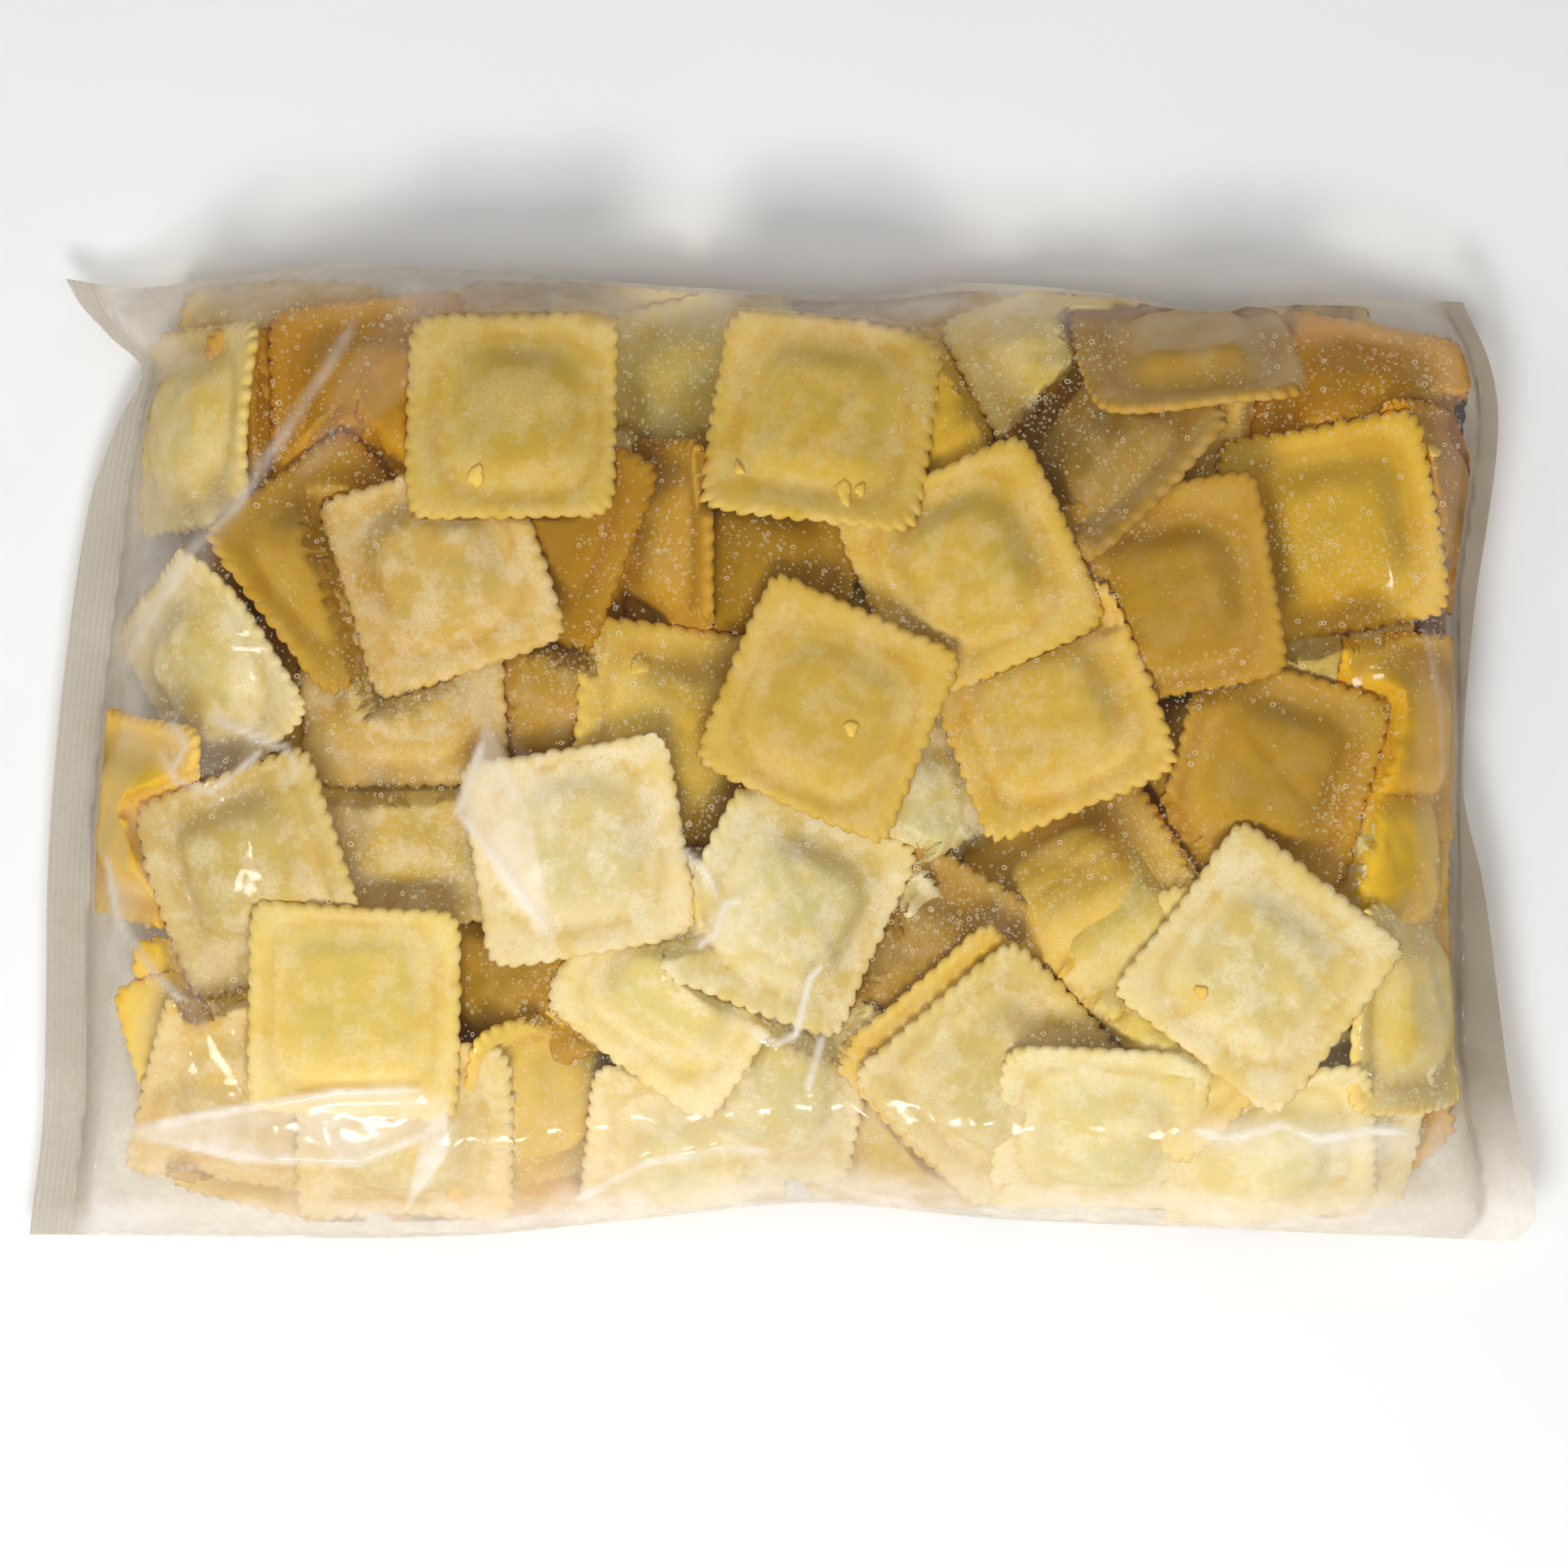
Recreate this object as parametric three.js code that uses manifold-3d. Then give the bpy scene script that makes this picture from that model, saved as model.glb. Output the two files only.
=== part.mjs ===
// Sealed clear bag of fluted square ravioli, lying flat on its back. Millimetres, +Z up.
// One solid stands for the filled bag: a flattened film tube with a crimped seal at the
// left end, a folded fin at the right end, and the ravioli that press against the film.
import * as THREE from 'three';
import { mergeVertices } from 'three/addons/utils/BufferGeometryUtils.js';
import Module from 'manifold-3d';

const wasm = await Module();
wasm.setup();

// --- driving dimensions -------------------------------------------------------------
const FILM_TOP = 50; // height of the film where it rests on the top ravioli
const CORE_DROP = 7; // the solid between the ravioli lies this far under the film
const CORE_SLACK = 12; // and curves down to the seam over this much more
const SEAM_MID = 18; // height of the widest line of the bag along its long sides
const SEAM_LEFT = 7; // height of the crimped seal
const SEAM_RIGHT = 15; // height of the folded fin
const SEAM_CLIMB_LEFT = 55; // the seam climbs from the seal over this distance
const SEAM_CLIMB_RIGHT = 45; // and from the fin over this one
const BAND = 7; // both climbs start this far outside the filled part
const FLAP_THICKNESS = 1.3; // both bands are modelled this thick
const RIBS = 5; // crimp ribs along the left edge
const RIB_DEPTH = 0.35;
const BACK_ROUND = 40; // how far the film curves in from the long sides, above the seam
const FRONT_ROUND = 44;
const LEFT_ROUND = 24; // the same from the crimped seal
const RIGHT_ROUND = 22; // the same from the fin
const UNDER_ROUND = 15; // the same under the seam, along the long sides
const UNDER_SEAL_ROUND = 28; // and behind the crimped seal
const FLOOR_GAP = 0.4; // ravioli stay this far above the underside
const ROWS = 16; // grid lines across the bag
const BODY_COLUMNS = 18; // grid lines along the filled part
const FIN_COLUMNS = 2;
const EVEN_SHARE = 0.35; // of the grid spacing is even, the rest closes up at the ends

const RAVIOLO_SIDE = 45; // over the fluted rim
const PILLOW_HALF = 15; // half width of the filled pillow
const RIM_POWER = 9; // squareness of the rim, as the power of its outline
const RIM_HALF = 1.3; // half thickness of the rim
const PILLOW_UP = 7.5; // pillow height over the middle plane
const PILLOW_DOWN = 4;
const PILLOW_POWER = 4; // squareness of the pillow
const FLAT_RELIEF = 0.5; // the ravioli on top show a side with half as high a pillow
const PILLOW_SWELL = 0.6; // how fast the pillow rises from the rim
const CROWN = 0.72; // half width of the pillow's crown, of the pillow's
const CROWN_HEIGHT = 0.85; // its height, of the pillow's
const SOLE = 0.6; // half width of the pillow's flat underside
const PILLOW_POINTS = 8; // points on each ring of the pillow
const FLUTE_DEPTH = 0.9;
const LOBES = 5; // flutes on each side of the rim
const LOBE_POINTS = 8; // rim points for each of them, over the four sides
const STEP = 2.25; // the fit under the film is tested at this spacing
const LEAST_RISE = 0.8; // ravioli that show less than this above the core are left inside it

// --- outline, seen from above -------------------------------------------------------
// Each edge is a smooth curve through a few stations [where along the edge, offset].
const BACK_EDGE = [[-152, 101], [-138, 99], [-118, 101.4], [-94, 103.7], [-60, 102], [-15, 98.6], [20, 97.7],
  [39, 99.8], [70, 97.5], [92, 94.2], [103, 96.8], [145, 95.8]];
const FRONT_EDGE = [[-160, -102.2], [-115, -102.4], [-69, -102.2], [-30, -98.6], [6, -95.2], [45, -98.5],
  [90, -100.5], [130, -102.3], [160, -103.7]];
const LEFT_EDGE = [[0, -160], [0.13, -157], [0.44, -155.5], [0.76, -147.6], [0.86, -141], [0.915, -136],
  [0.95, -143.5], [0.975, -149], [1, -152.2]];
const RIGHT_EDGE = [[0, 156], [0.03, 160], [0.15, 155], [0.38, 148.8], [0.48, 144.6], [0.65, 146.5],
  [0.86, 152], [0.93, 150.5], [1, 144.5]];
// Width of the folded fin along the right edge, hidden by the ravioli in the middle.
const FIN_WIDTHS = [[0, 12], [0.3, 8], [0.5, 1.2], [0.7, 4], [1, 4]];
// Width of the crimped seal along the left edge, least at the notch under the corner.
const SEAL_WIDTHS = [[0, 9], [0.72, 9], [0.84, 6], [0.915, 2.5], [0.95, 4], [1, 6]];

// Cubic curve through the stations, with slopes from their neighbours.
function curve(stations, at) {
  let i = 0;
  while (i < stations.length - 2 && at > stations[i + 1][0]) i += 1;
  const [x0, y0] = stations[i];
  const [x1, y1] = stations[i + 1];
  const before = stations[Math.max(i - 1, 0)];
  const after = stations[Math.min(i + 2, stations.length - 1)];
  const span = x1 - x0;
  const u = THREE.MathUtils.clamp((at - x0) / span, 0, 1);
  const slope0 = (y1 - before[1]) / (x1 - before[0]) * span;
  const slope1 = (after[1] - y0) / (after[0] - x0) * span;
  const u2 = u * u;
  const u3 = u2 * u;
  return (2 * u3 - 3 * u2 + 1) * y0 + (u3 - 2 * u2 + u) * slope0
    + (3 * u2 - 2 * u3) * y1 + (u3 - u2) * slope1;
}

// 0 at an edge, rising like a quarter circle to 1 at the given distance from it.
function round(distance, reach) {
  const left = 1 - THREE.MathUtils.clamp(distance / reach, 0, 1);
  return Math.sqrt(1 - left * left);
}

// How far a point lies inside the seal, the fin and the two long edges of the bag.
function inside(x, y) {
  const front = curve(FRONT_EDGE, x);
  const back = curve(BACK_EDGE, x);
  const across = THREE.MathUtils.clamp((y - front) / (back - front), 0, 1);
  return {
    left: x - curve(LEFT_EDGE, across) - curve(SEAL_WIDTHS, across),
    right: curve(RIGHT_EDGE, across) - x - curve(FIN_WIDTHS, across),
    front: y - front,
    back: back - y,
  };
}

function seamHeight(gap) {
  const fromLeft = THREE.MathUtils.smoothstep(gap.left + BAND, 0, SEAM_CLIMB_LEFT);
  const fromRight = THREE.MathUtils.smoothstep(gap.right + BAND, 0, SEAM_CLIMB_RIGHT);
  const leftPart = SEAM_LEFT + (SEAM_MID - SEAM_LEFT) * fromLeft;
  return leftPart + (SEAM_RIGHT - SEAM_MID) * (1 - fromRight);
}

// Height of the upper side: "top" in the middle, falling to the seam with the given
// extra softness of the rounding.
function upperSide(x, y, top, extra) {
  const gap = inside(x, y);
  const seam = seamHeight(gap);
  const left = round(gap.left, LEFT_ROUND + extra);
  const right = round(gap.right, RIGHT_ROUND + extra);
  const long = round(gap.front, FRONT_ROUND + extra) * round(gap.back, BACK_ROUND + extra);
  return seam + (top - seam) * left * right * long;
}

// The film as it would lie with nothing sagging between the ravioli.
function filmTop(x, y) {
  return upperSide(x, y, FILM_TOP, 0);
}

// The solid in between the ravioli.
function coreTop(x, y) {
  return upperSide(x, y, FILM_TOP - CORE_DROP, CORE_SLACK);
}

function underSide(x, y) {
  const gap = inside(x, y);
  const left = round(gap.left, UNDER_SEAL_ROUND);
  const right = round(gap.right, RIGHT_ROUND);
  const long = round(gap.front, UNDER_ROUND) * round(gap.back, UNDER_ROUND);
  return seamHeight(gap) * (1 - left * right * long);
}

// --- solids from triangles ----------------------------------------------------------
function toSolid(points, faces) {
  return new wasm.Manifold(new wasm.Mesh({
    numProp: 3,
    vertProperties: Float32Array.from(points.flat()),
    triVerts: Uint32Array.from(faces.flat()),
  }));
}

// Two grids, upper and lower, closed along the rim.
function bagShape(topAt, lift) {
  const sealColumns = 2 * RIBS;
  const last = sealColumns + BODY_COLUMNS + FIN_COLUMNS;
  const points = [];
  const upper = [];
  const lower = [];
  for (let i = 0; i <= last; i += 1) {
    upper.push([]);
    lower.push([]);
    for (let j = 0; j <= ROWS; j += 1) {
      const t = 0.5 - 0.5 * Math.cos(Math.PI * j / ROWS);
      const x0 = curve(LEFT_EDGE, t);
      const x1 = curve(RIGHT_EDGE, t);
      const seal = curve(SEAL_WIDTHS, t);
      const k = i - sealColumns;
      const ease = 0.5 - 0.5 * Math.cos(Math.PI * k / BODY_COLUMNS);
      const share = EVEN_SHARE * k / BODY_COLUMNS + (1 - EVEN_SHARE) * ease;
      const fin = curve(FIN_WIDTHS, t);
      let x = x0 + seal + (x1 - fin - x0 - seal) * share;
      let crimp = 0;
      if (k < 0) {
        x = x0 + seal * i / sealColumns;
        crimp = i % 2 ? RIB_DEPTH : -RIB_DEPTH;
      }
      if (k > BODY_COLUMNS) x = x1 - fin * (last - i) / FIN_COLUMNS;
      const front = curve(FRONT_EDGE, x);
      const y = front + (curve(BACK_EDGE, x) - front) * t;
      const rim = j === 0 || j === ROWS;
      const half = rim ? 0 : FLAP_THICKNESS / 2;
      const mid = seamHeight(inside(x, y));
      upper[i].push(points.length);
      points.push([x, y, rim ? mid : Math.max(topAt(x, y), mid + half) + crimp]);
      if (rim) {
        lower[i].push(upper[i][j]);
      } else {
        lower[i].push(points.length);
        points.push([x, y, Math.min(underSide(x, y) + lift, mid - half) + crimp]);
      }
    }
  }
  return toSolid(points, gridFaces(upper, lower, last));
}

function gridFaces(upper, lower, last) {
  const faces = [];
  const quad = (a, b, c, d) => {
    if (a !== b && b !== c && a !== c) faces.push([a, b, c]);
    if (a !== c && c !== d && a !== d) faces.push([a, c, d]);
  };
  for (let i = 0; i < last; i += 1) {
    for (let j = 0; j < ROWS; j += 1) {
      quad(upper[i][j], upper[i + 1][j], upper[i + 1][j + 1], upper[i][j + 1]);
      quad(lower[i][j], lower[i][j + 1], lower[i + 1][j + 1], lower[i + 1][j]);
    }
  }
  for (let j = 0; j < ROWS; j += 1) {
    quad(upper[0][j], upper[0][j + 1], lower[0][j + 1], lower[0][j]);
    quad(lower[last][j], lower[last][j + 1], upper[last][j + 1], upper[last][j]);
  }
  return faces;
}

// --- one raviolo --------------------------------------------------------------------
// Point on a square with rounded corners, "half" from its middle to its side.
function squarePoint(angle, half, power) {
  const c = Math.cos(angle);
  const s = Math.sin(angle);
  const r = half / (Math.abs(c) ** power + Math.abs(s) ** power) ** (1 / power);
  return [r * c, r * s];
}

// Fluted rim, flat on both faces, with a pillow above and a lower one below.
function raviolo(relief) {
  const points = [];
  const faces = [];
  const count = LOBES * LOBE_POINTS;
  const addRing = (amount, z, make) => {
    const start = points.length;
    for (let k = 0; k < amount; k += 1) points.push([...make(2 * Math.PI * k / amount, k), z]);
    return { start, amount };
  };
  const fluted = (angle, k) => squarePoint(angle, RAVIOLO_SIDE / 2 - (k % 2) * FLUTE_DEPTH, RIM_POWER);
  const soft = (half) => (angle) => squarePoint(angle, half, PILLOW_POWER);
  const crown = RIM_HALF + (PILLOW_UP - RIM_HALF) * relief;
  const rings = [
    addRing(PILLOW_POINTS, -PILLOW_DOWN, soft(PILLOW_HALF * SOLE)),
    addRing(PILLOW_POINTS, -RIM_HALF, soft(PILLOW_HALF)),
    addRing(count, -RIM_HALF, fluted),
    addRing(count, RIM_HALF, fluted),
    addRing(PILLOW_POINTS, RIM_HALF, soft(PILLOW_HALF)),
    addRing(PILLOW_POINTS, crown * CROWN_HEIGHT, soft(PILLOW_HALF * CROWN)),
  ];
  for (let r = 0; r < rings.length - 1; r += 1) bridge(faces, rings[r], rings[r + 1]);
  points.push([0, 0, crown]);
  points.push([0, 0, -PILLOW_DOWN]);
  const top = rings[rings.length - 1];
  for (let k = 0; k < PILLOW_POINTS; k += 1) {
    const next = (k + 1) % PILLOW_POINTS;
    faces.push([top.start + k, top.start + next, points.length - 2]);
    faces.push([rings[0].start + next, rings[0].start + k, points.length - 1]);
  }
  return { points, faces };
}

// Joins two closed rings whose point counts may differ.
function bridge(faces, low, high) {
  let a = 0;
  let b = 0;
  while (a < low.amount || b < high.amount) {
    const la = low.start + (a % low.amount);
    const hb = high.start + (b % high.amount);
    if (b === high.amount || (a < low.amount && (a + 0.5) / low.amount <= (b + 0.5) / high.amount)) {
      faces.push([la, low.start + ((a + 1) % low.amount), hb]);
      a += 1;
    } else {
      faces.push([la, high.start + ((b + 1) % high.amount), hb]);
      b += 1;
    }
  }
}

// --- where the ravioli lie ----------------------------------------------------------
// [x, y, yaw, lean, heading of the lower side, depth under the film] in mm and degrees.
const PLACES = [
  [10, 9.5, -22.5, 1, 0, 0], [100, -45, -37, 2, 300, 0], [-90, -54, -1, 3, 260, 0],
  [-43, -20, 9, 2, 270, 0], [8.5, 70, -8, 17, 95, 0], [-56.5, 71, -1, 14, 97, 0],
  [39.5, 39, 24, 6, 210, 1], [56, 9, 22, 10, 160, 3.5], [86, 81, 8, 56, 92, 1],
  [69.5, 66, 48, 46, 138, 0.5], [82, 34.5, 9, 8, 190, 2.5], [116.5, 47.5, 10, 10, 320, 2],
  [-72, 38.5, 18, 18, 190, 1.5], [-93, 41, 38, 28, 38, 1], [-112, -25.5, 19, 26, 195, 1],
  [1, -33, -24, 22, 340, 1], [-21.5, -47.5, -33, 8, 250, 2.5], [-50, -72.5, 2, 48, 315, 0.5],
  [67, -79, -5, 40, 268, 0.5], [44.5, -67.5, 42, 26, 300, 0.5], [40, -63.5, 42, 27, 300, 3.5],
  [116, -77, -4, 38, 310, 1], [68, -35, 33, 36, 124, 1], [84, -57, 45, 14, 225, 2],
  [103, -4, -16, 14, 344, 3], [62, -28, 30, 38, 123, 2.5], [34, -14, -11, 30, 0, 3],
  [-124, 69, 1, 60, 170, 0.5], [-121, 17, 38.5, 52, 200, 0.5], [-134, -13.5, -7, 60, 180, 0.5],
  [132.5, -53, 4, 60, 0, 1], [133, 57, -4, 52, 0, 0.5], [114, -30, -3, 30, 0, 1.5],
  [120, -22, 1, 40, 0, 1.5], [127, -24, 0, 50, 0, 1.5], [130, 4, -6, 50, 0, 1.5],
  [-53, 49, -22, 15, 200, 4], [-22, 4, -6, 25, 0, 4], [-79.5, -80, 0, 36, 270, 2],
  [-116.5, -71.5, -14, 34, 262, 3], [-116, -60, -30, 30, 190, 4], [-114, -61, 3, 10, 190, 5],
  [102.5, -83, 3, 42, 270, 2], [-19.5, -84, -5, 38, 270, 1.5], [-4, -70, -10, 24, 270, 2],
  [25, -79, 10, 32, 270, 2.5], [123, -60, 30, 34, 350, 3], [121, 67, -10, 26, 60, 3],
  [-26, 44, -2, 60, 180, 1.5], [-80, 15, 3, 6, 200, 6], [-87, 75, 4, 25, 120, 5],
  [-103, 79, 14, 58, 268, 0.5], [-104, 69, -28, 22, 140, 9], [62, 82, 25, 30, 90, 3.5],
  [83, -1, -19, 55, 161, 4], [-51, 13.5, -24, 8, 200, 8], [-6.5, 39.5, -20, 12, 200, 9],
  [-17, 75.5, 12, 20, 90, 8], [-30, 79, -8, 25, 90, 9], [40, 71, 10, 20, 90, 7],
  [-76, -13, 0, 5, 0, 7],
];

// Those that lie right under the film show their flatter side.
function reliefOf(place) {
  return place[5] === 0 ? FLAT_RELIEF : 1;
}

// Thickness above the mid plane, pillow included.
function thickness(u, v, relief) {
  const power = PILLOW_POWER;
  const q = (Math.abs(u) ** power + Math.abs(v) ** power) ** (1 / power) / PILLOW_HALF;
  return RIM_HALF + (PILLOW_UP - RIM_HALF) * relief * Math.max(0, 1 - q * q) ** PILLOW_SWELL;
}

function turnOf([, , yaw, lean, heading]) {
  const toward = THREE.MathUtils.degToRad(heading);
  const axis = new THREE.Vector3(-Math.sin(toward), Math.cos(toward), 0);
  const up = new THREE.Vector3(0, 0, 1);
  const turn = new THREE.Quaternion().setFromAxisAngle(axis, THREE.MathUtils.degToRad(lean));
  return turn.multiply(new THREE.Quaternion().setFromAxisAngle(up, THREE.MathUtils.degToRad(yaw)));
}

// Height of the middle at which the upper face just touches a surface from below,
// and how far that face then rises over the core.
function fitUnder(place, turn) {
  const [x, y] = place;
  let z = Infinity;
  let rise = -Infinity;
  const reach = RAVIOLO_SIDE / 2;
  const relief = reliefOf(place);
  for (let u = -reach; u <= reach; u += STEP) {
    for (let v = -reach; v <= reach; v += STEP) {
      const p = new THREE.Vector3(u, v, thickness(u, v, relief)).applyQuaternion(turn);
      z = Math.min(z, filmTop(x + p.x, y + p.y) - p.z);
      rise = Math.max(rise, p.z - coreTop(x + p.x, y + p.y));
    }
  }
  z -= place[5];
  return { z, rise: rise + z };
}

function filledBag() {
  const room = bagShape(filmTop, FLOOR_GAP);
  let solid = bagShape(coreTop, 0);
  for (const place of PLACES) {
    const turn = turnOf(place);
    const { z, rise } = fitUnder(place, turn);
    if (rise < LEAST_RISE) continue;
    const shape = raviolo(reliefOf(place));
    const points = shape.points.map((p) => {
      const v = new THREE.Vector3(...p).applyQuaternion(turn);
      return [v.x + place[0], v.y + place[1], v.z + z];
    });
    solid = solid.add(toSolid(points, shape.faces).intersect(room));
  }
  return solid;
}

// The faces of the outer skin, so that hollows closed in between overlapping ravioli
// are filled.
function outerFaces(triangles, vertexCount) {
  const parent = Uint32Array.from({ length: vertexCount }, (_, i) => i);
  const root = (i) => {
    let at = i;
    while (parent[at] !== at) {
      parent[at] = parent[parent[at]];
      at = parent[at];
    }
    return at;
  };
  for (let i = 0; i < triangles.length; i += 3) {
    parent[root(triangles[i])] = root(triangles[i + 1]);
    parent[root(triangles[i + 1])] = root(triangles[i + 2]);
  }
  const sizes = new Map();
  triangles.forEach((v) => sizes.set(root(v), (sizes.get(root(v)) ?? 0) + 1));
  const largest = [...sizes].sort((a, b) => b[1] - a[1])[0][0];
  return triangles.filter((_, i) => root(triangles[i - (i % 3)]) === largest);
}

function toGeometry(solid) {
  const mesh = solid.getMesh();
  let geometry = new THREE.BufferGeometry();
  geometry.setAttribute('position', new THREE.BufferAttribute(Float32Array.from(mesh.vertProperties), 3));
  geometry.setIndex(new THREE.BufferAttribute(Uint32Array.from(mesh.triVerts), 1));
  geometry = mergeVertices(geometry, 1e-3);
  const all = Array.from(geometry.index.array);
  geometry.setIndex(outerFaces(all, geometry.attributes.position.count));
  geometry.computeVertexNormals();
  return geometry;
}

const material = new THREE.MeshStandardMaterial({ name: 'pasta_in_film', color: 0xd9bb72, roughness: 0.3 });
const bag = new THREE.Mesh(toGeometry(filledBag()), material);
bag.name = 'bag';

const group = new THREE.Group();
group.name = 'ravioli';
group.add(bag);
export default group;
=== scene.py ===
import math

import bpy
import numpy as np
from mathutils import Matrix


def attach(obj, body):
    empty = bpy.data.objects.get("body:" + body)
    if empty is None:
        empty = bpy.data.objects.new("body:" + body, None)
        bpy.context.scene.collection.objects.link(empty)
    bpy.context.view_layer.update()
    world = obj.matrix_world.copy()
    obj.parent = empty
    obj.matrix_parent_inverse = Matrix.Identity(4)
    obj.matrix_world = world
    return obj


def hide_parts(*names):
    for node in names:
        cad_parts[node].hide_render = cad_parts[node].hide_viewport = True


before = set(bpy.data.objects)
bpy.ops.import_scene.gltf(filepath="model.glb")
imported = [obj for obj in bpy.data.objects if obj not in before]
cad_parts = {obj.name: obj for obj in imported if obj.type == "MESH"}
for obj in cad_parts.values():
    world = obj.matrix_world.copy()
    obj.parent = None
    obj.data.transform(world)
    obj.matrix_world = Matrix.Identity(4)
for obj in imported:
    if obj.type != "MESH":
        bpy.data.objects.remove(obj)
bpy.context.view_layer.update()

# --- sizes, in millimetres, as in the part's own source ------------------------------
MM = 0.001
FILM_TOP = 50.0  # height of the film where it rests on the top ravioli
SEAM_MID = 18.0  # height of the bag's widest line
SEAM_LEFT = 7.0
SEAM_RIGHT = 15.0
SEAM_REACH_LEFT = (-7, 48)  # the seam rises between these distances inside the seal
SEAM_REACH_RIGHT = (-7, 38)  # and the fin
BACK_ROUND = 40.0
FRONT_ROUND = 44.0
LEFT_ROUND = 24.0
RIGHT_ROUND = 22.0
UNDER_ROUND = 15.0
UNDER_LEFT_MORE = 4  # the underside is rounder than the top beside the seal
RAVIOLO_SIDE = 45.0
EDGE = RAVIOLO_SIDE / 2
PILLOW_HALF = 15.0
RIM_HALF = 1.3
PILLOW_UP = 7.5
FLAT_RELIEF = 0.5  # the ravioli right under the film show a side with half as high a pillow
PILLOW_DOWN = 4.0
FLUTE_DEPTH = 1.0
LOBES = 12  # flutes on each side of the rim
STEP = 2.25  # between the points at which a raviolo is fitted under the film

BACK_EDGE = [[-152, 101], [-138, 99], [-118, 101.4], [-94, 103.7], [-60, 102], [-15, 98.6],
             [20, 97.7], [39, 99.8], [70, 97.5], [92, 94.2], [103, 96.8], [145, 95.8]]
FRONT_EDGE = [[-160, -102.2], [-115, -102.4], [-69, -102.2], [-30, -98.6], [6, -95.2], [45, -98.5],
              [90, -100.5], [130, -102.3], [160, -103.7]]
LEFT_EDGE = [[0, -160], [0.13, -157], [0.44, -155.5], [0.76, -147.6], [0.86, -141], [0.915, -136],
             [0.95, -143.5], [0.975, -149], [1, -152.2]]
RIGHT_EDGE = [[0, 156], [0.03, 160], [0.15, 155], [0.38, 148.8], [0.48, 144.6], [0.65, 146.5],
              [0.86, 152], [0.93, 150.5], [1, 144.5]]
FIN_WIDTHS = [[0, 12], [0.3, 8], [0.5, 1.2], [0.7, 4], [1, 4]]
SEAL_WIDTHS = [[0, 9], [0.72, 9], [0.84, 6], [0.915, 2.5], [0.95, 4], [1, 6]]

# [x, y, yaw, lean, heading of the lower side, depth under the film, look], topmost first.
PLACES = [
    [10, 9.5, -22.5, 1, 0, 0, "olive"], [100, -45, -37, 2, 300, 0, "cream"],
    [-90, -54, -1, 3, 260, 0, "straw"], [-43, -20, 9, 2, 270, 0, "floury"],
    [8.5, 70, -8, 17, 95, 0, "olive"], [-56.5, 71, -1, 14, 97, 0, "olive"],
    [39.5, 39, 24, 6, 210, 1, "olive"], [56, 9, 22, 10, 160, 3.5, "olive"],
    # the "shade" look of the second piece here is painted shade on a face turned from the light
    [86, 84, 8, 61, 92, 1, "brown"], [68, 64.5, 48, 46, 138, 1.5, "shade"],
    [82, 34.5, 9, 8, 190, 2.5, "toast"], [116.5, 47.5, 10, 10, 320, 2, "honey"],
    [-72, 38.5, 18, 18, 190, 1.5, "dusty"], [-93, 41, 38, 28, 38, 1, "toast"],
    [-112, -25.5, 19, 26, 195, 1, "wheat"], [1, -33, -24, 22, 340, 1, "floury"],
    [-21.5, -47.5, -33, 8, 250, 2.5, "cream"], [-50, -72.5, 2, 48, 315, 0.5, "gold"],
    [67, -79, -5, 40, 268, 0.5, "cream"], [44.5, -67.5, 42, 26, 300, 0.5, "wheat"],
    [40, -63.5, 42, 27, 300, 3.5, "olive"], [116, -77, -4, 38, 310, 1, "floury"],
    [68, -35, 33, 36, 124, 1, "straw"], [84, -57, 45, 14, 225, 2, "straw"],
    [103, -4, -16, 14, 344, 3, "toast"], [62, -28, 30, 38, 123, 2.5, "gold"],
    [34, -14, -11, 30, 0, 3, "floury"], [-124, 69, 1, 60, 170, 0.5, "straw"],
    [-121, 17, 38.5, 52, 200, 0.5, "cream"], [-134, -13.5, -7, 60, 180, 0.5, "yellow"],
    [132.5, -53, 4, 60, 0, 1, "straw"], [136.5, 52, -3, 62, 0, 0.5, "amber"],
    [114, -30, -3, 30, 0, 1.5, "gold"], [120, -22, 1, 40, 0, 1.5, "floury"],
    [127, -24, 0, 50, 0, 1.5, "yellow"], [130, 4, -6, 50, 0, 1.5, "orange"],
    [-53, 49, -22, 15, 200, 4, "umber"], [-22, 4, -6, 25, 0, 4, "gold"],
    [-79.5, -80, 0, 36, 270, 2, "wheat"], [-112.5, -71.5, -14, 34, 262, 3, "dusty"],
    [-115, -65, 16, 14, 190, 3.5, "yellow"], [-114, -61, 3, 10, 190, 5, "yellow"],
    [102.5, -83, 3, 42, 270, 2, "cream"], [-19.5, -84, -5, 38, 270, 1.5, "cream"],
    [-4, -70, -10, 24, 270, 2, "cream"], [25, -79, 10, 32, 270, 2.5, "olive"],
    [123, -60, 30, 34, 350, 3, "straw"], [122, 70, -9, 22, 60, 3, "amber"],
    [-26, 44, -2, 60, 180, 1.5, "toast"], [-80, 15, 3, 6, 200, 7.5, "dusty"],
    [-87, 75, 4, 25, 120, 5, "amber"], [-99, 79, 14, 58, 268, 3, "amber"],
    [-99, 69, 2, 12, 140, 9, "amber"], [62, 82, 25, 30, 90, 3.5, "straw"],
    [83, -1, -19, 55, 161, 4, "brown"], [-51, 13.5, -24, 8, 200, 8, "brown"],
    [-6.5, 39.5, -20, 12, 200, 9, "umber"], [-17, 75.5, 12, 20, 90, 8, "straw"],
    [-30, 79, -8, 25, 90, 9, "straw"], [40, 71, 10, 20, 90, 7, "honey"],
    [-76, -13, 0, 5, 0, 7, "dusty"], [-58, -46, 20, 6, 200, 9, "toast"],
    # the "shade" look of the first piece here is painted shade deep in a gap
    [30, -44, -30, 8, 180, 9, "shade"], [-30, 27, 35, 10, 200, 10, "amber"],
    [112, 17, 0, 8, 180, 6, "dusty"],
]
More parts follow.
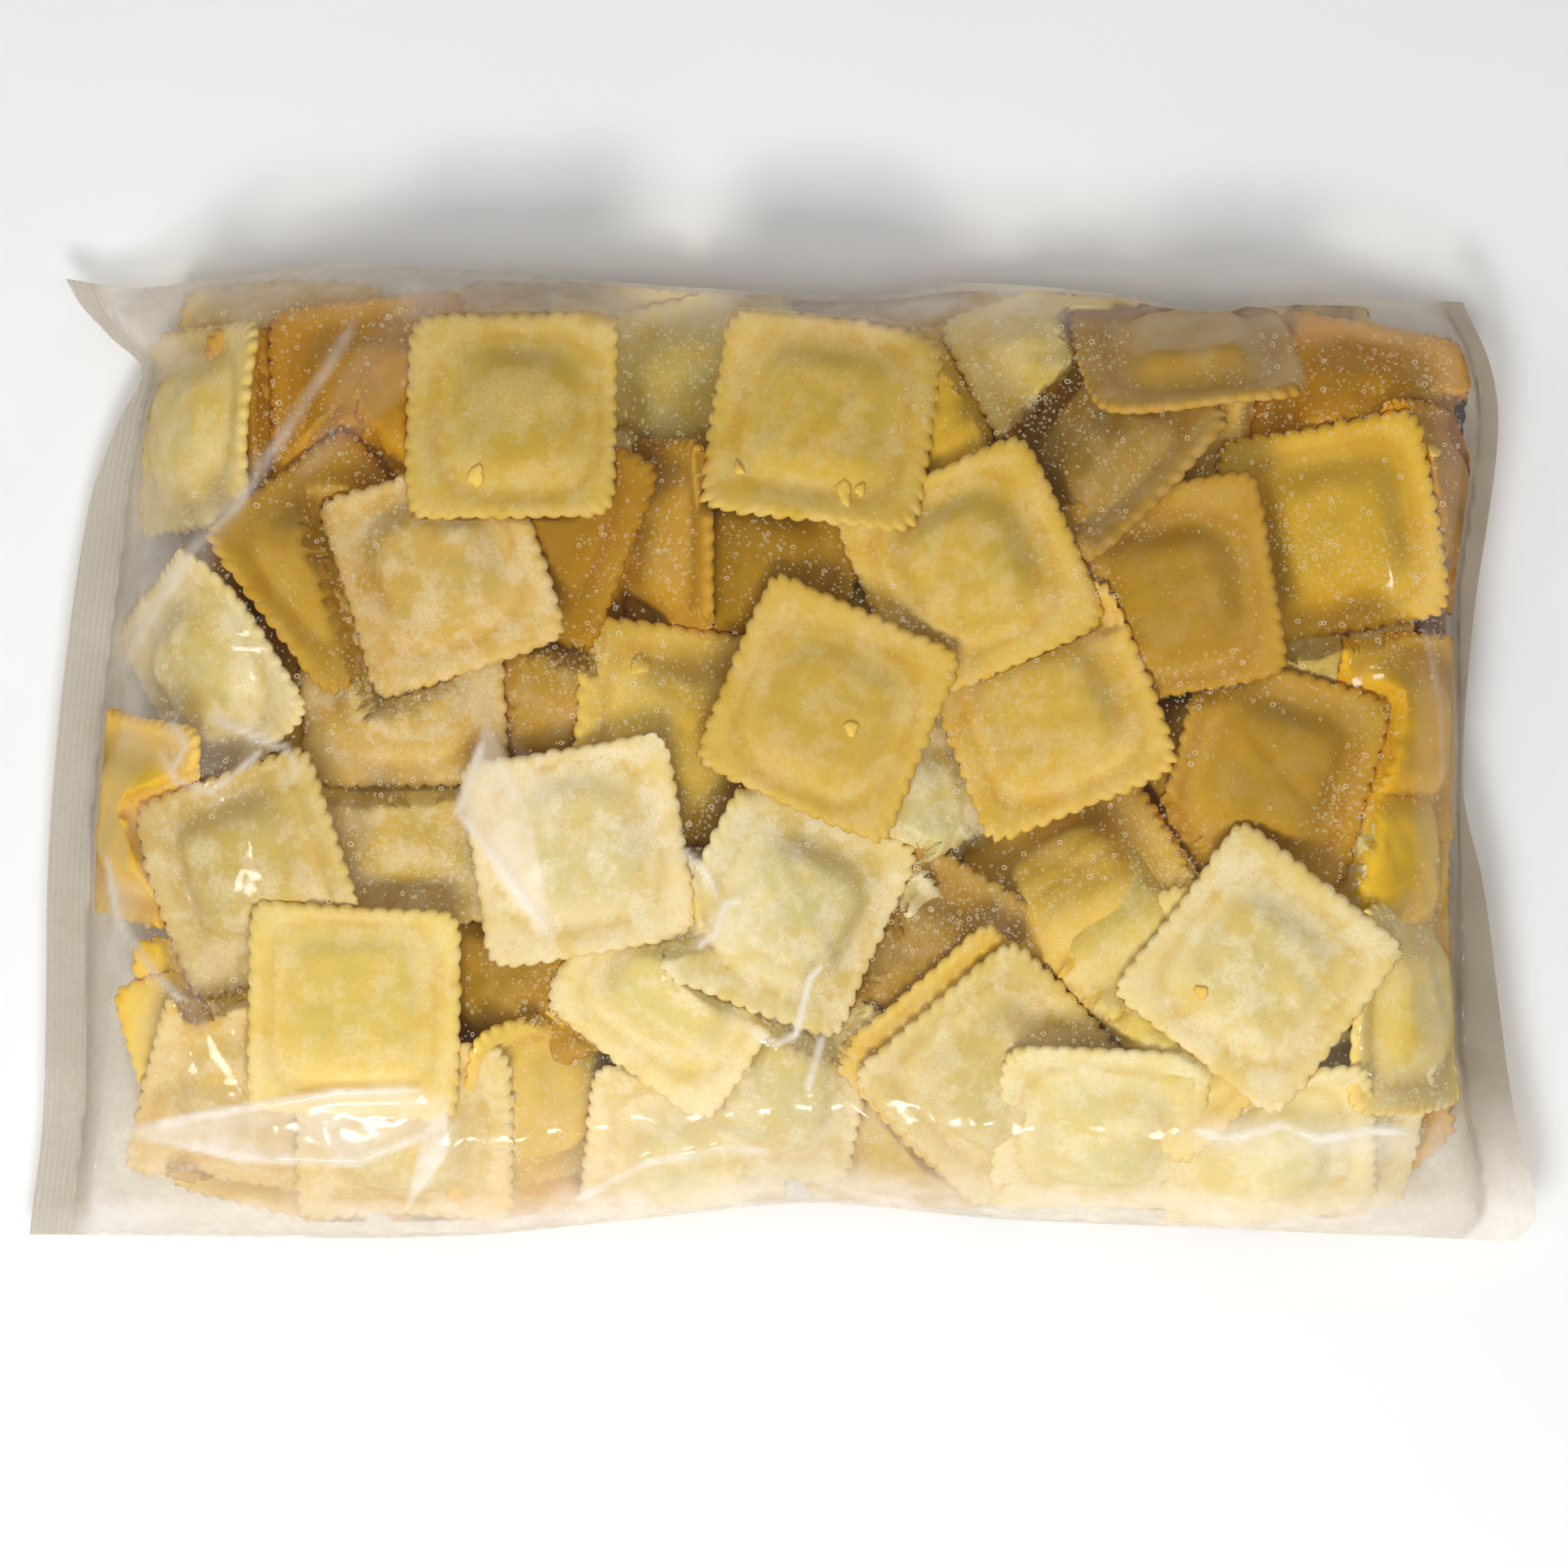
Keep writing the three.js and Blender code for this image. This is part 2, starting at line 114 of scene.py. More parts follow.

# Dough colours, linear, and how wet and glassy the dough is. The darker looks on pieces deep in
# gaps partly paint their shade, and "shade" is a darker dough that stands in for shade.
LOOKS = {
    "cream": (0.82, 0.69, 0.34, 0.25),
    "floury": (0.84, 0.72, 0.39, 0.0),
    "straw": (0.85, 0.66, 0.21, 0.5),
    "wheat": (0.74, 0.58, 0.24, 0.35),
    "dusty": (0.70, 0.50, 0.16, 0.4),
    "gold": (0.85, 0.61, 0.13, 0.7),
    "yellow": (0.90, 0.60, 0.05, 1.0),
    "olive": (0.74, 0.52, 0.11, 0.6),
    "orange": (0.85, 0.51, 0.03, 1.0),
    "honey": (0.80, 0.52, 0.06, 0.9),
    "amber": (0.64, 0.34, 0.02, 1.0),
    "toast": (0.56, 0.33, 0.035, 0.8),
    "umber": (0.47, 0.26, 0.015, 1.0),
    "brown": (0.56, 0.34, 0.06, 0.7),
    # painted shade: a darker dough for faces turned from the light or deep in a gap
    "shade": (0.50, 0.31, 0.07, 0.7),
}


# --- the bag's form ------------------------------------------------------------------
def curve(stations, at):
    """Cubic curve through the stations, with slopes from their neighbours."""
    xs = np.array([p[0] for p in stations], float)
    ys = np.array([p[1] for p in stations], float)
    at = np.asarray(at, float)
    i = np.searchsorted(xs[1:-1], at, side="left")
    before = np.maximum(i - 1, 0)
    after = np.minimum(i + 2, len(xs) - 1)
    span = xs[i + 1] - xs[i]
    u = np.clip((at - xs[i]) / span, 0, 1)
    slope0 = (ys[i + 1] - ys[before]) / (xs[i + 1] - xs[before]) * span
    slope1 = (ys[after] - ys[i]) / (xs[after] - xs[i]) * span
    u2 = u * u
    u3 = u2 * u
    return ((2 * u3 - 3 * u2 + 1) * ys[i] + (u3 - 2 * u2 + u) * slope0
            + (3 * u2 - 2 * u3) * ys[i + 1] + (u3 - u2) * slope1)


def smooth(x, low, high):
    u = np.clip((x - low) / (high - low), 0, 1)
    return u * u * (3 - 2 * u)


def rounding(distance, reach):
    """A quarter of an ellipse: 0 at the edge, 1 from the reach on."""
    left = 1 - np.clip(distance / reach, 0, 1)
    return np.sqrt(1 - left * left)


def inside(x, y):
    """How far a point lies inside the seal, the fin, the front and the back edge."""
    front = curve(FRONT_EDGE, x)
    back = curve(BACK_EDGE, x)
    across = np.clip((y - front) / (back - front), 0, 1)
    left = x - curve(LEFT_EDGE, across) - curve(SEAL_WIDTHS, across)
    right = curve(RIGHT_EDGE, across) - x - curve(FIN_WIDTHS, across)
    return left, right, y - front, back - y


def seam_height(left, right):
    """Height of the line where the two films meet."""
    start = SEAM_LEFT + (SEAM_MID - SEAM_LEFT) * smooth(left, *SEAM_REACH_LEFT)
    return start + (SEAM_RIGHT - SEAM_MID) * (1 - smooth(right, *SEAM_REACH_RIGHT))


def film_top(x, y):
    """The film as it would lie with nothing sagging between the ravioli."""
    left, right, front, back = inside(x, y)
    seam = seam_height(left, right)
    full = rounding(left, LEFT_ROUND) * rounding(right, RIGHT_ROUND)
    full = full * rounding(front, FRONT_ROUND) * rounding(back, BACK_ROUND)
    return seam + (FILM_TOP - seam) * full


def under_side(x, y):
    left, right, front, back = inside(x, y)
    full = rounding(left, LEFT_ROUND + UNDER_LEFT_MORE) * rounding(right, RIGHT_ROUND)
    full = full * rounding(front, UNDER_ROUND) * rounding(back, UNDER_ROUND)
    return seam_height(left, right) * (1 - full)


# --- grids over the bag, 1 mm apart --------------------------------------------------
GRID_X = np.arange(-165, 166, 1.0)
GRID_Y = np.arange(-108, 109, 1.0)
CELL_X, CELL_Y = np.meshgrid(GRID_X, GRID_Y)


def sample(grid, x, y):
    """Value of a grid between its cells."""
    gx = np.clip(x - GRID_X[0], 0, len(GRID_X) - 1.001)
    gy = np.clip(y - GRID_Y[0], 0, len(GRID_Y) - 1.001)
    ix = gx.astype(int)
    iy = gy.astype(int)
    fx = gx - ix
    fy = gy - iy
    low = grid[iy, ix] * (1 - fx) + grid[iy, ix + 1] * fx
    high = grid[iy + 1, ix] * (1 - fx) + grid[iy + 1, ix + 1] * fx
    return low * (1 - fy) + high * fy


# --- one raviolo ---------------------------------------------------------------------
def turn_of(yaw, lean, heading):
    """A spin by the yaw, then a lean that puts the side at the heading lowest."""
    t = math.radians(heading)
    a = math.radians(lean)
    s = math.radians(yaw)
    k = np.array([-math.sin(t), math.cos(t), 0])
    cross = np.array([[0, -k[2], k[1]], [k[2], 0, -k[0]], [-k[1], k[0], 0]])
    tilt = np.eye(3) + math.sin(a) * cross + (1 - math.cos(a)) * cross @ cross
    spin = np.array([[math.cos(s), -math.sin(s), 0], [math.sin(s), math.cos(s), 0], [0, 0, 1]])
    return tilt @ spin


def plain_thickness(u, v, relief):
    q = (np.abs(u) ** 4 + np.abs(v) ** 4) ** 0.25 / PILLOW_HALF
    return RIM_HALF + (PILLOW_UP - RIM_HALF) * relief * np.maximum(0, 1 - q * q) ** 0.6


def fit_under(place, turn, relief):
    """Height of the middle that puts the upper face at its depth under the film."""
    side = np.arange(-EDGE, EDGE + 0.01, STEP)
    u, v = np.meshgrid(side, side)
    p = np.stack([u, v, plain_thickness(u, v, relief)], -1) @ turn.T
    return np.min(film_top(place[0] + p[..., 0], place[1] + p[..., 1]) - p[..., 2]) - place[5]


# What makes each raviolo uneven, in millimetres where it is a length.
BEND = 0.8
CORNER_BEND = 1.3
CORNERS_BENT = 0.6  # share of the corners
STRETCH = 0.012
SKEW = 0.025
SIDE_BOW = 0.45
LOBE_SPREAD = 0.2
PILLOW_SHIFT = 0.6
PILLOW_POWERS = (3.0, 5.0)  # how square the pillow is
PILLOW_HEIGHTS = (0.88, 1.06)
CORNER_POWERS = (8, 12)  # how square the outline is
GRAIN_REACH = 400
TINT_SPREAD = 0.04
HUE_SPREAD = 0.012
FLUTE_SHARES = (0.6, 1.0)
RIPPLE = 0.25
RIPPLE_LENGTHS = (6.5, 5.2)
LUMP_RATES = (0.4, 0.55, 0.75, 1.1, 0.3)
LUMP_LAST_TURN = 0.7


class Dough:
    """The unevenness of one raviolo, in its own flat coordinates."""

    def __init__(self, rng, relief=1.0):
        self.relief = relief
        self.bend = rng.normal(0, BEND, 3)
        self.corner = rng.normal(0, CORNER_BEND, 4) * (rng.random(4) < CORNERS_BENT)
        self.stretch = 1 + rng.normal(0, STRETCH, 2)
        self.skew = rng.normal(0, SKEW)
        self.bow = rng.normal(0, SIDE_BOW, 4)
        self.lobe = 1 + rng.normal(0, LOBE_SPREAD, 4 * LOBES)
        self.shift = rng.normal(0, PILLOW_SHIFT, 2)
        self.power = rng.uniform(*PILLOW_POWERS)
        self.height = rng.uniform(*PILLOW_HEIGHTS) * relief
        self.wave = rng.uniform(0, 6.28, 12)  # phases and turns of the ripples and lumps
        self.corner_cut = rng.uniform(*CORNER_POWERS)
        self.grain = rng.uniform(0, GRAIN_REACH)
        self.tint = rng.normal(0, TINT_SPREAD) + rng.normal(0, HUE_SPREAD, 3)
        self.flute = FLUTE_DEPTH * rng.uniform(*FLUTE_SHARES)

    def lift(self, u, v):
        """How far the middle plane is bent up or down."""
        a = u / EDGE
        b = v / EDGE
        z = self.bend[0] * a * a + self.bend[1] * b * b + self.bend[2] * a * b
        for k, (cu, cv) in enumerate(((1, 1), (-1, 1), (-1, -1), (1, -1))):
            z = z + self.corner[k] * np.clip(a * cu + b * cv - 1.0, 0, 1) ** 2 * 2
        along = np.sin(u / RIPPLE_LENGTHS[0] + self.wave[0])
        return z + RIPPLE * along * np.sin(v / RIPPLE_LENGTHS[1] + self.wave[1])

    def lumps(self, u, v):
        """Small waves of the filling under the dough."""
        z = 0
        for k, rate in enumerate(LUMP_RATES):
            a = self.wave[2 * k + 2] if k < 4 else LUMP_LAST_TURN
            z = z + np.sin(rate * (u * math.cos(a) + v * math.sin(a)) + self.wave[2 * k + 1])
        return z / len(LUMP_RATES)

    def shade(self, look):
        """A look's colour with this raviolo's own tint, and its wetness."""
        return [*(np.array(look[:3]) * (1 + self.tint)), look[3]]

    def pillow(self, u, v):
        """Share of the pillow's height, and the distance from its middle in pillow halves."""
        x = np.abs(u - self.shift[0])
        y = np.abs(v - self.shift[1])
        q = (x ** self.power + y ** self.power) ** (1 / self.power) / PILLOW_HALF
        dome = 0.65 * (1 - smooth(q, 0.6, 1.06)) + 0.35 * np.clip(1 - q * q, 0, 1) ** 0.8
        return dome, q


def perimeter(count):
    """Points on a square's outline, evenly spaced, at distance 1 from its middle."""
    per = count // 4
    f = np.arange(per) / per * 2 - 1
    one = np.ones(per)
    return np.concatenate([one, -f, -one, f]), np.concatenate([f, one, -f, -one])


class Rings:
    """The rings of points that a raviolo is made of, and the faces between them."""

    def __init__(self, stations):
        self.stations = stations  # (radius, side, number of points), from the top's middle
        starts = np.cumsum([0] + [s[2] for s in stations])
        faces = []
        for k in range(len(stations) - 1):
            faces += stitch(starts[k], stations[k][2], starts[k + 1], stations[k + 1][2])
        self.size = int(starts[-1])
        first, last, start = stations[0][2], stations[-1][2], starts[-2]
        faces += [(k, (k + 1) % first, self.size) for k in range(first)]
        faces += [(start + (k + 1) % last, start + k, self.size + 1) for k in range(last)]
        self.faces = np.array(faces)


def stitch(a0, na, b0, nb):
    """Triangles between two closed rings whose numbers of points may differ."""
    faces = []
    a = 0
    b = 0
    while a < na or b < nb:
        if b == nb or (a < na and (a + 0.5) / na <= (b + 0.5) / nb):
            faces.append((a0 + a % na, b0 + b % nb, a0 + (a + 1) % na))
            a += 1
        else:
            faces.append((a0 + a % na, b0 + b % nb, b0 + (b + 1) % nb))
            b += 1
    return faces


# Distances from the middle at which the outline turns square, the rim's paint starts, the
# flutes start and the rim thins out.
SQUARE_FROM = 12
RIM_FROM = 18.6
FLUTES_FROM = 20.3
THIN_FROM = 21.0
GROOVE_AT = 1.16  # in pillow halves, as its width
GROOVE_WIDTH = 0.09
GROOVE_DEPTH = 0.35
LUMP_HEIGHT = 0.55
FLUTE_RISE = 0.3


def rim_share(r, start):
    """How far a ring lies between a start and the edge."""
    return min(max((r - start) / (EDGE - start), 0), 1)


def raviolo(dough, rings):
    """Points and paint of one raviolo lying flat."""
    points = []
    paint = []
    for r, side, count in rings.stations:
        u0, v0 = perimeter(count)
        turn = np.arange(count) / count * 4 * LOBES
        lobe = np.abs(np.sin(turn * math.pi)) ** 0.7 * dough.lobe[turn.astype(int) % (4 * LOBES)]
        along = np.where(np.abs(u0) == 1, v0, u0)
        bow = dough.bow[np.arange(count) * 4 // count] * (1 - along ** 2)
        near = rim_share(r, SQUARE_FROM)
        power = 4 + (dough.corner_cut - 4) * near
        norm = (np.abs(u0) ** power + np.abs(v0) ** power) ** (1 / power)
        out = rim_share(r, RIM_FROM)
        edge = rim_share(r, FLUTES_FROM)
        radius = r / norm + edge * (dough.flute * (lobe - 0.8)) + near * bow
        u = radius * u0 * dough.stretch[0]
        v = radius * v0 * dough.stretch[1] + dough.skew * u
        bump, q = dough.pillow(u, v)
        groove = np.exp(-((q - GROOVE_AT) / GROOVE_WIDTH) ** 2)
        thin = 1 - 0.5 * smooth(np.full(count, r), THIN_FROM, EDGE)
        if side > 0:
            swell = (PILLOW_UP - RIM_HALF) * dough.height * bump
            skin = LUMP_HEIGHT * dough.lumps(u, v) * (0.25 + bump) - GROOVE_DEPTH * groove
            skin = skin + FLUTE_RISE * edge * (lobe - 0.6)
            w = RIM_HALF * thin + swell + skin
        elif side < 0:
            w = -RIM_HALF * thin - (PILLOW_DOWN - RIM_HALF) * min(dough.height * 1.2, 1) * bump
        else:
            w = np.zeros(count)
        points.append(np.stack([u, v, w + dough.lift(u, v)], -1))
        paint.append(np.stack([bump, np.full(count, out), groove], -1))
    points = np.concatenate(points + [[points[0].mean(0), points[-1].mean(0)]])
    paint = np.concatenate(paint + [[[1, 0, 0], [1, 0, 0]]])
    return points, paint


RIM_POINTS = 16 * LOBES
LOWER_RIM_POINTS = 2 * RIM_POINTS // 4
UPPER_RINGS = Rings([(r, 1, 64) for r in (2.6, 5.4, 7.8, 9.6, 11, 12.3, 13.5, 14.7, 15.9, 17.1)]
                    + [(r, 1, RIM_POINTS) for r in (18.6, 20.0, 21.2, 22.1)]
                    + [(EDGE, 0, RIM_POINTS), (22.1, -1, RIM_POINTS), (20.4, -1, RIM_POINTS)]
                    + [(r, -1, 64) for r in (17.4, 15.2, 12.6, 9.0, 4.5)])
LOWER_RINGS = Rings([(r, 1, 32) for r in (4, 8, 11, 13.5, 16)]
                    + [(19, 1, LOWER_RIM_POINTS), (21.6, 1, LOWER_RIM_POINTS)]
                    + [(EDGE, 0, LOWER_RIM_POINTS), (20.5, -1, LOWER_RIM_POINTS)]
                    + [(r, -1, 32) for r in (16, 13, 8)])


class Heap:
    """Collects ravioli or crumbs into one mesh."""

    def __init__(self):
        self.parts = []
        self.size = 0

    def add(self, points, faces, paint, local, tone):
        tones = np.tile(np.array(tone), (len(points), 1))
        self.parts.append((points, faces + self.size, paint, local, tones))
        self.size += len(points)

    def build(self, name):
        points, faces, paint, local, tones = [np.concatenate(part) for part in zip(*self.parts)]
        return make_piece(name, points, faces, {"marks": paint, "local": local, "tone": tones})


# Kind and key of a layer with so many numbers for each point.
LAYER_KINDS = {1: ("FLOAT", "value"), 3: ("FLOAT_VECTOR", "vector"), 4: ("FLOAT_COLOR", "color")}


def make_piece(name, points, faces, layers):
    """A smooth mesh from points in millimetres, with layers of values on its points."""
    mesh = bpy.data.meshes.new(name)
    mesh.from_pydata((points * MM).tolist(), [], faces.tolist())
    for title, values in layers.items():
        values = np.asarray(values, np.float32).reshape(len(points), -1)
        kind, key = LAYER_KINDS[values.shape[1]]
        mesh.attributes.new(title, kind, "POINT").data.foreach_set(key, values.ravel())
    mesh.shade_smooth()
    return add_object(name, mesh)


def add_object(name, data):
    thing = bpy.data.objects.new(name, data)
    bpy.context.scene.collection.objects.link(thing)
    return thing


CEILING_INSET = 0.2
CEILING_REACH = 3  # how far past a raviolo's rim its underside still limits others
CEILING_SLOPE = 2.2  # how steeply that limit rises there


def lower_ceiling(ceiling, place, turn, z, dough):
    """Lowers a ceiling to the underside of a raviolo."""
    axis_u = turn[:, 0]
    axis_v = turn[:, 1]
    area = axis_u[0] * axis_v[1] - axis_u[1] * axis_v[0]
    dx = CELL_X - place[0]
    dy = CELL_Y - place[1]
    u = (dx * axis_v[1] - dy * axis_v[0]) / area
    v = (dy * axis_u[0] - dx * axis_u[1]) / area
    beyond = np.maximum(np.abs(u), np.abs(v)) - (EDGE - CEILING_INSET)
    near = beyond < CEILING_REACH
    bump, _ = dough.pillow(u, v)
    down = RIM_HALF + (PILLOW_DOWN - RIM_HALF) * dough.height * bump
    bottom = z + u * axis_u[2] + v * axis_v[2] + dough.lift(u, v) - down / area
    bottom = bottom + CEILING_SLOPE * np.maximum(beyond, 0)
    ceiling[near] = np.minimum(ceiling[near], bottom[near])


UNDER_GAP = 0.5  # between the lower film and the pasta
LEAST_ROOM = 0.3


def squeeze(points, gap, margins):
    """Presses back into the bag what would stick out of it."""
    x = points[:, 0]
    y = points[:, 1]
    for _ in range(2):
        over = [np.maximum(0, m - d) for m, d in zip(margins, inside(x, y))]
        x = x + over[0] - over[1]
        y = y + over[2] - over[3]
    low = under_side(x, y) + UNDER_GAP
    high = np.maximum(film_top(x, y) - gap, low + LEAST_ROOM)
    points[:, 0] = x
    points[:, 1] = y
    points[:, 2] = np.clip(points[:, 2], low, high)
    return points


UPPER_GAP = 0.1  # under the film
UPPER_MARGINS = (0.8, 0.8, 0.8, 0.8)  # from the seal, the fin, the front and the back edge
PIECE_GAP = 0.25
LOWEST = 0.6
COVERED_DEPTHS = (3, 9)  # ravioli this deep stay under every raviolo laid before them
FLAT_LEAN = 30  # the others stay only under those that lean less than this


def lay_upper(rng):
    """The ravioli that show through the upper film, their tops and their undersides."""
    ceiling = film_top(CELL_X, CELL_Y)
    cover = ceiling.copy()
    roof = np.full_like(ceiling, -99.0)
    heaps = [Heap(), Heap()]
    for k, place in enumerate(PLACES):
        dough = Dough(rng, FLAT_RELIEF if place[5] == 0 else 1.0)
        turn = turn_of(*place[2:5])
        z = fit_under(place, turn, dough.relief)
        local, paint = raviolo(dough, UPPER_RINGS)
        points = local @ turn.T + np.array([place[0], place[1], z])
        points = squeeze(points, UPPER_GAP, UPPER_MARGINS)
        above = cover if COVERED_DEPTHS[0] <= place[5] < COVERED_DEPTHS[1] else ceiling
        limit = sample(above, points[:, 0], points[:, 1]) - PIECE_GAP
        points[:, 2] = np.minimum(points[:, 2], limit)
        points[:, 2] = np.maximum(points[:, 2], LOWEST)
        lower_ceiling(cover, place, turn, z, dough)
        if place[3] < FLAT_LEAN:
            lower_ceiling(ceiling, place, turn, z, dough)
        raise_roof(roof, points, UPPER_RINGS.faces)
        shade = dough.shade(LOOKS[place[6]])
        grain = local + np.array([0, 0, dough.grain])
        heaps[k % 2].add(points, UPPER_RINGS.faces, paint, grain, shade)
    return heaps, roof, cover


def raise_roof(roof, points, faces):
    """Lifts the grid of tops to the faces' corners, mid-sides and middles."""
    a, b, c = points[faces[:, 0]], points[faces[:, 1]], points[faces[:, 2]]
    for p in (a, (a + b) / 2, (b + c) / 2, (c + a) / 2, (a + b + c) / 3):
        ix = np.clip(np.round(p[:, 0] - GRID_X[0]).astype(int), 0, len(GRID_X) - 1)
        iy = np.clip(np.round(p[:, 1] - GRID_Y[0]).astype(int), 0, len(GRID_Y) - 1)
        np.maximum.at(roof, (iy, ix), p[:, 2])


# The two layers underneath: rows, columns, first x and y, pitch and looseness along x and y,
# height and its spread, least and most lean.
BOTTOM_LAYER = (5, 6, (-106, -76), (44, 38.5), (4, 3), (5.2, 1.5), (0, 6))
MIDDLE_LAYER = (4, 5, (-92, -60), (48, 40), (8, 5), (25, 4), (4, 16))
# saturated looks that partly paint the warm light bounced between the ravioli in the gaps
LOWER_LOOKS = ["gold", "orange", "amber", "gold", "orange", "amber"]
LOWER_GAP = 1.5  # space under the film
LOWER_MARGINS = (12, 2, 3, 1.5)
LOWER_PIECE_GAP = 0.3
LOWER_LOWEST = 0.7


def lay_lower(rng, cover):
    """The ravioli underneath: one layer on the lower film and a looser one on it."""
    heap = Heap()
    spots = []
    for rows, columns, first, pitch, loose, height, lean in (BOTTOM_LAYER, MIDDLE_LAYER):
        for row in range(rows):
            for col in range(columns):
                x = first[0] + col * pitch[0] + rng.uniform(-loose[0], loose[0])
                y = first[1] + row * pitch[1] + rng.uniform(-loose[1], loose[1])
                spots.append((x, y, height[0] + rng.uniform(0, height[1]), rng.uniform(*lean)))
    for x, y, z, lean in spots:
        dough = Dough(rng)
        turn = turn_of(rng.uniform(-45, 45), lean, rng.uniform(0, 360))
        local, paint = raviolo(dough, LOWER_RINGS)
        points = squeeze(local @ turn.T + np.array([x, y, z]), LOWER_GAP, LOWER_MARGINS)
        limit = np.maximum(sample(cover, points[:, 0], points[:, 1]) - LOWER_PIECE_GAP, LOWER_LOWEST)
        points[:, 2] = np.minimum(points[:, 2], limit)
        shade = dough.shade(LOOKS[LOWER_LOOKS[rng.integers(len(LOWER_LOOKS))]])
        heap.add(points, LOWER_RINGS.faces, paint, local + np.array([0, 0, dough.grain]), shade)
    return heap


# Crumbs of dough on the top ravioli: x, y, half width, half length.
CRUMBS = [(13.2, 54.9, 1.5, 2.9), (16.6, 55.4, 1.2, 1.5), (-29.8, 18.7, 2.0, 2.2),
          (88, -50, 1.3, 1.7), (14.6, 5.3, 1.5, 1.8), (-64.2, 58.3, 1.8, 2.4),
          (138, 64, 1.6, 1.2), (-9, 60, 1.0, 1.6)]
CRUMB_SIDES = 14
CRUMB_RINGS = [(0.55, 0.9), (0.85, 0.6), (1.0, 0.25), (0.9, -0.2)]  # share of the width, height
CRUMB_RISE = 1.1
CRUMB_TOP = 1.05
CRUMB_SINK = 0.15  # into the dough


def lay_crumbs(rng, roof):
    """The crumbs; they raise the grid of tops too."""
    heap = Heap()
    count = CRUMB_SIDES
    angle = np.arange(count) * 2 * math.pi / count
    faces = []
    for k in range(len(CRUMB_RINGS) - 1):
        faces += stitch(k * count, count, (k + 1) * count, count)
    top = len(CRUMB_RINGS) * count
    faces = np.array(faces + [(k, (k + 1) % count, top) for k in range(count)])
    for x, y, half, length in CRUMBS:
        bumpy = 1 + 0.16 * np.sin(3 * angle + rng.uniform(0, 6))
        bumpy = bumpy + 0.1 * np.sin(5 * angle + rng.uniform(0, 6))
        points = []
        for wide, up in CRUMB_RINGS:
            across = half * wide * bumpy * np.cos(angle)
            along = length * wide * bumpy * np.sin(angle)
            points.append(np.stack([across, along, np.full(count, up * CRUMB_RISE)], -1))
        points = np.concatenate(points + [[[0, 0, CRUMB_TOP]]])
        local = points.copy()
        a = rng.uniform(0, 3.14)
        turn = np.array([[math.cos(a), -math.sin(a)], [math.sin(a), math.cos(a)]])
        points[:, :2] = points[:, :2] @ turn.T + np.array([x, y])
        points[:, 2] += sample(roof, points[:, 0], points[:, 1]) - CRUMB_SINK
        raise_roof(roof, points, faces)
        paint = np.tile([0.0, 0.6, 0.0], (len(points), 1))
        heap.add(points, faces, paint, local + np.array([0, 0, 20 * half]), LOOKS["gold"])
    return heap


# --- the film ------------------------------------------------------------------------
SAG = -0.002  # curvature with which the film hangs between what holds it up
CAP_RISE = 0.6  # how far the film may rise over its smooth form
TAUT_DROP = 1.6  # how far under that the tight film may hang,
TAUT_DROP_INNER = 7  # how much further away from the front,
TAUT_DROP_LEFT = 3  # and how much further near the seal
START_DROP = 4  # where the film starts before it settles
HOLD = 0.5  # width of the front and back edge in which the film is held
PASTA_GAP = 0.3
RELAX_STEPS = (8, 4, 2, 1)
RELAX_ROUNDS = 70


def stretched(roof):
    """Height of a tight skin over the ravioli tops, held at the seam."""
    left, right, front, back = inside(CELL_X, CELL_Y)
    seam = seam_height(left, right)
    held = (left < 0) | (right < 0) | (front < HOLD) | (back < HOLD)
    cap = film_top(CELL_X, CELL_Y) + CAP_RISE
    taut = cap - TAUT_DROP - TAUT_DROP_INNER * smooth(front, 18, 50)
    taut = taut - TAUT_DROP_LEFT * (1 - smooth(left, 10, 40))
    low = np.maximum(np.maximum(roof + PASTA_GAP, taut), seam)
    low = np.where(held, seam, np.minimum(low, cap))
    film = np.where(held, seam, np.maximum(low, cap - START_DROP))
    for step in RELAX_STEPS:
        film = relax(film, low, held, seam, step)
    return film


def relax(film, low, held, seam, step):
    """Lets the film settle between its neighbours, never under what holds it up."""
    for _ in range(RELAX_ROUNDS):
        near = (np.roll(film, step, 0) + np.roll(film, -step, 0)
                + np.roll(film, step, 1) + np.roll(film, -step, 1)) / 4
        film = np.maximum(near + SAG * step * step / 4, low)
        film = np.where(held, seam, film)
    return film


NOISE_LAYERS = 5


def noise_field(x, y, rng, size):
    """Soft seeded waves of about one size."""
    total = np.zeros_like(x)
    for _ in range(NOISE_LAYERS):
        a = rng.uniform(0, math.pi)
        f = 2 * math.pi / (size * rng.uniform(0.7, 1.4))
        total += np.sin(f * (x * math.cos(a) + y * math.sin(a)) + rng.uniform(0, 6.28)
                        + 1.5 * np.sin(f * 0.6 * (y * math.cos(a) - x * math.sin(a))))
    return total / NOISE_LAYERS
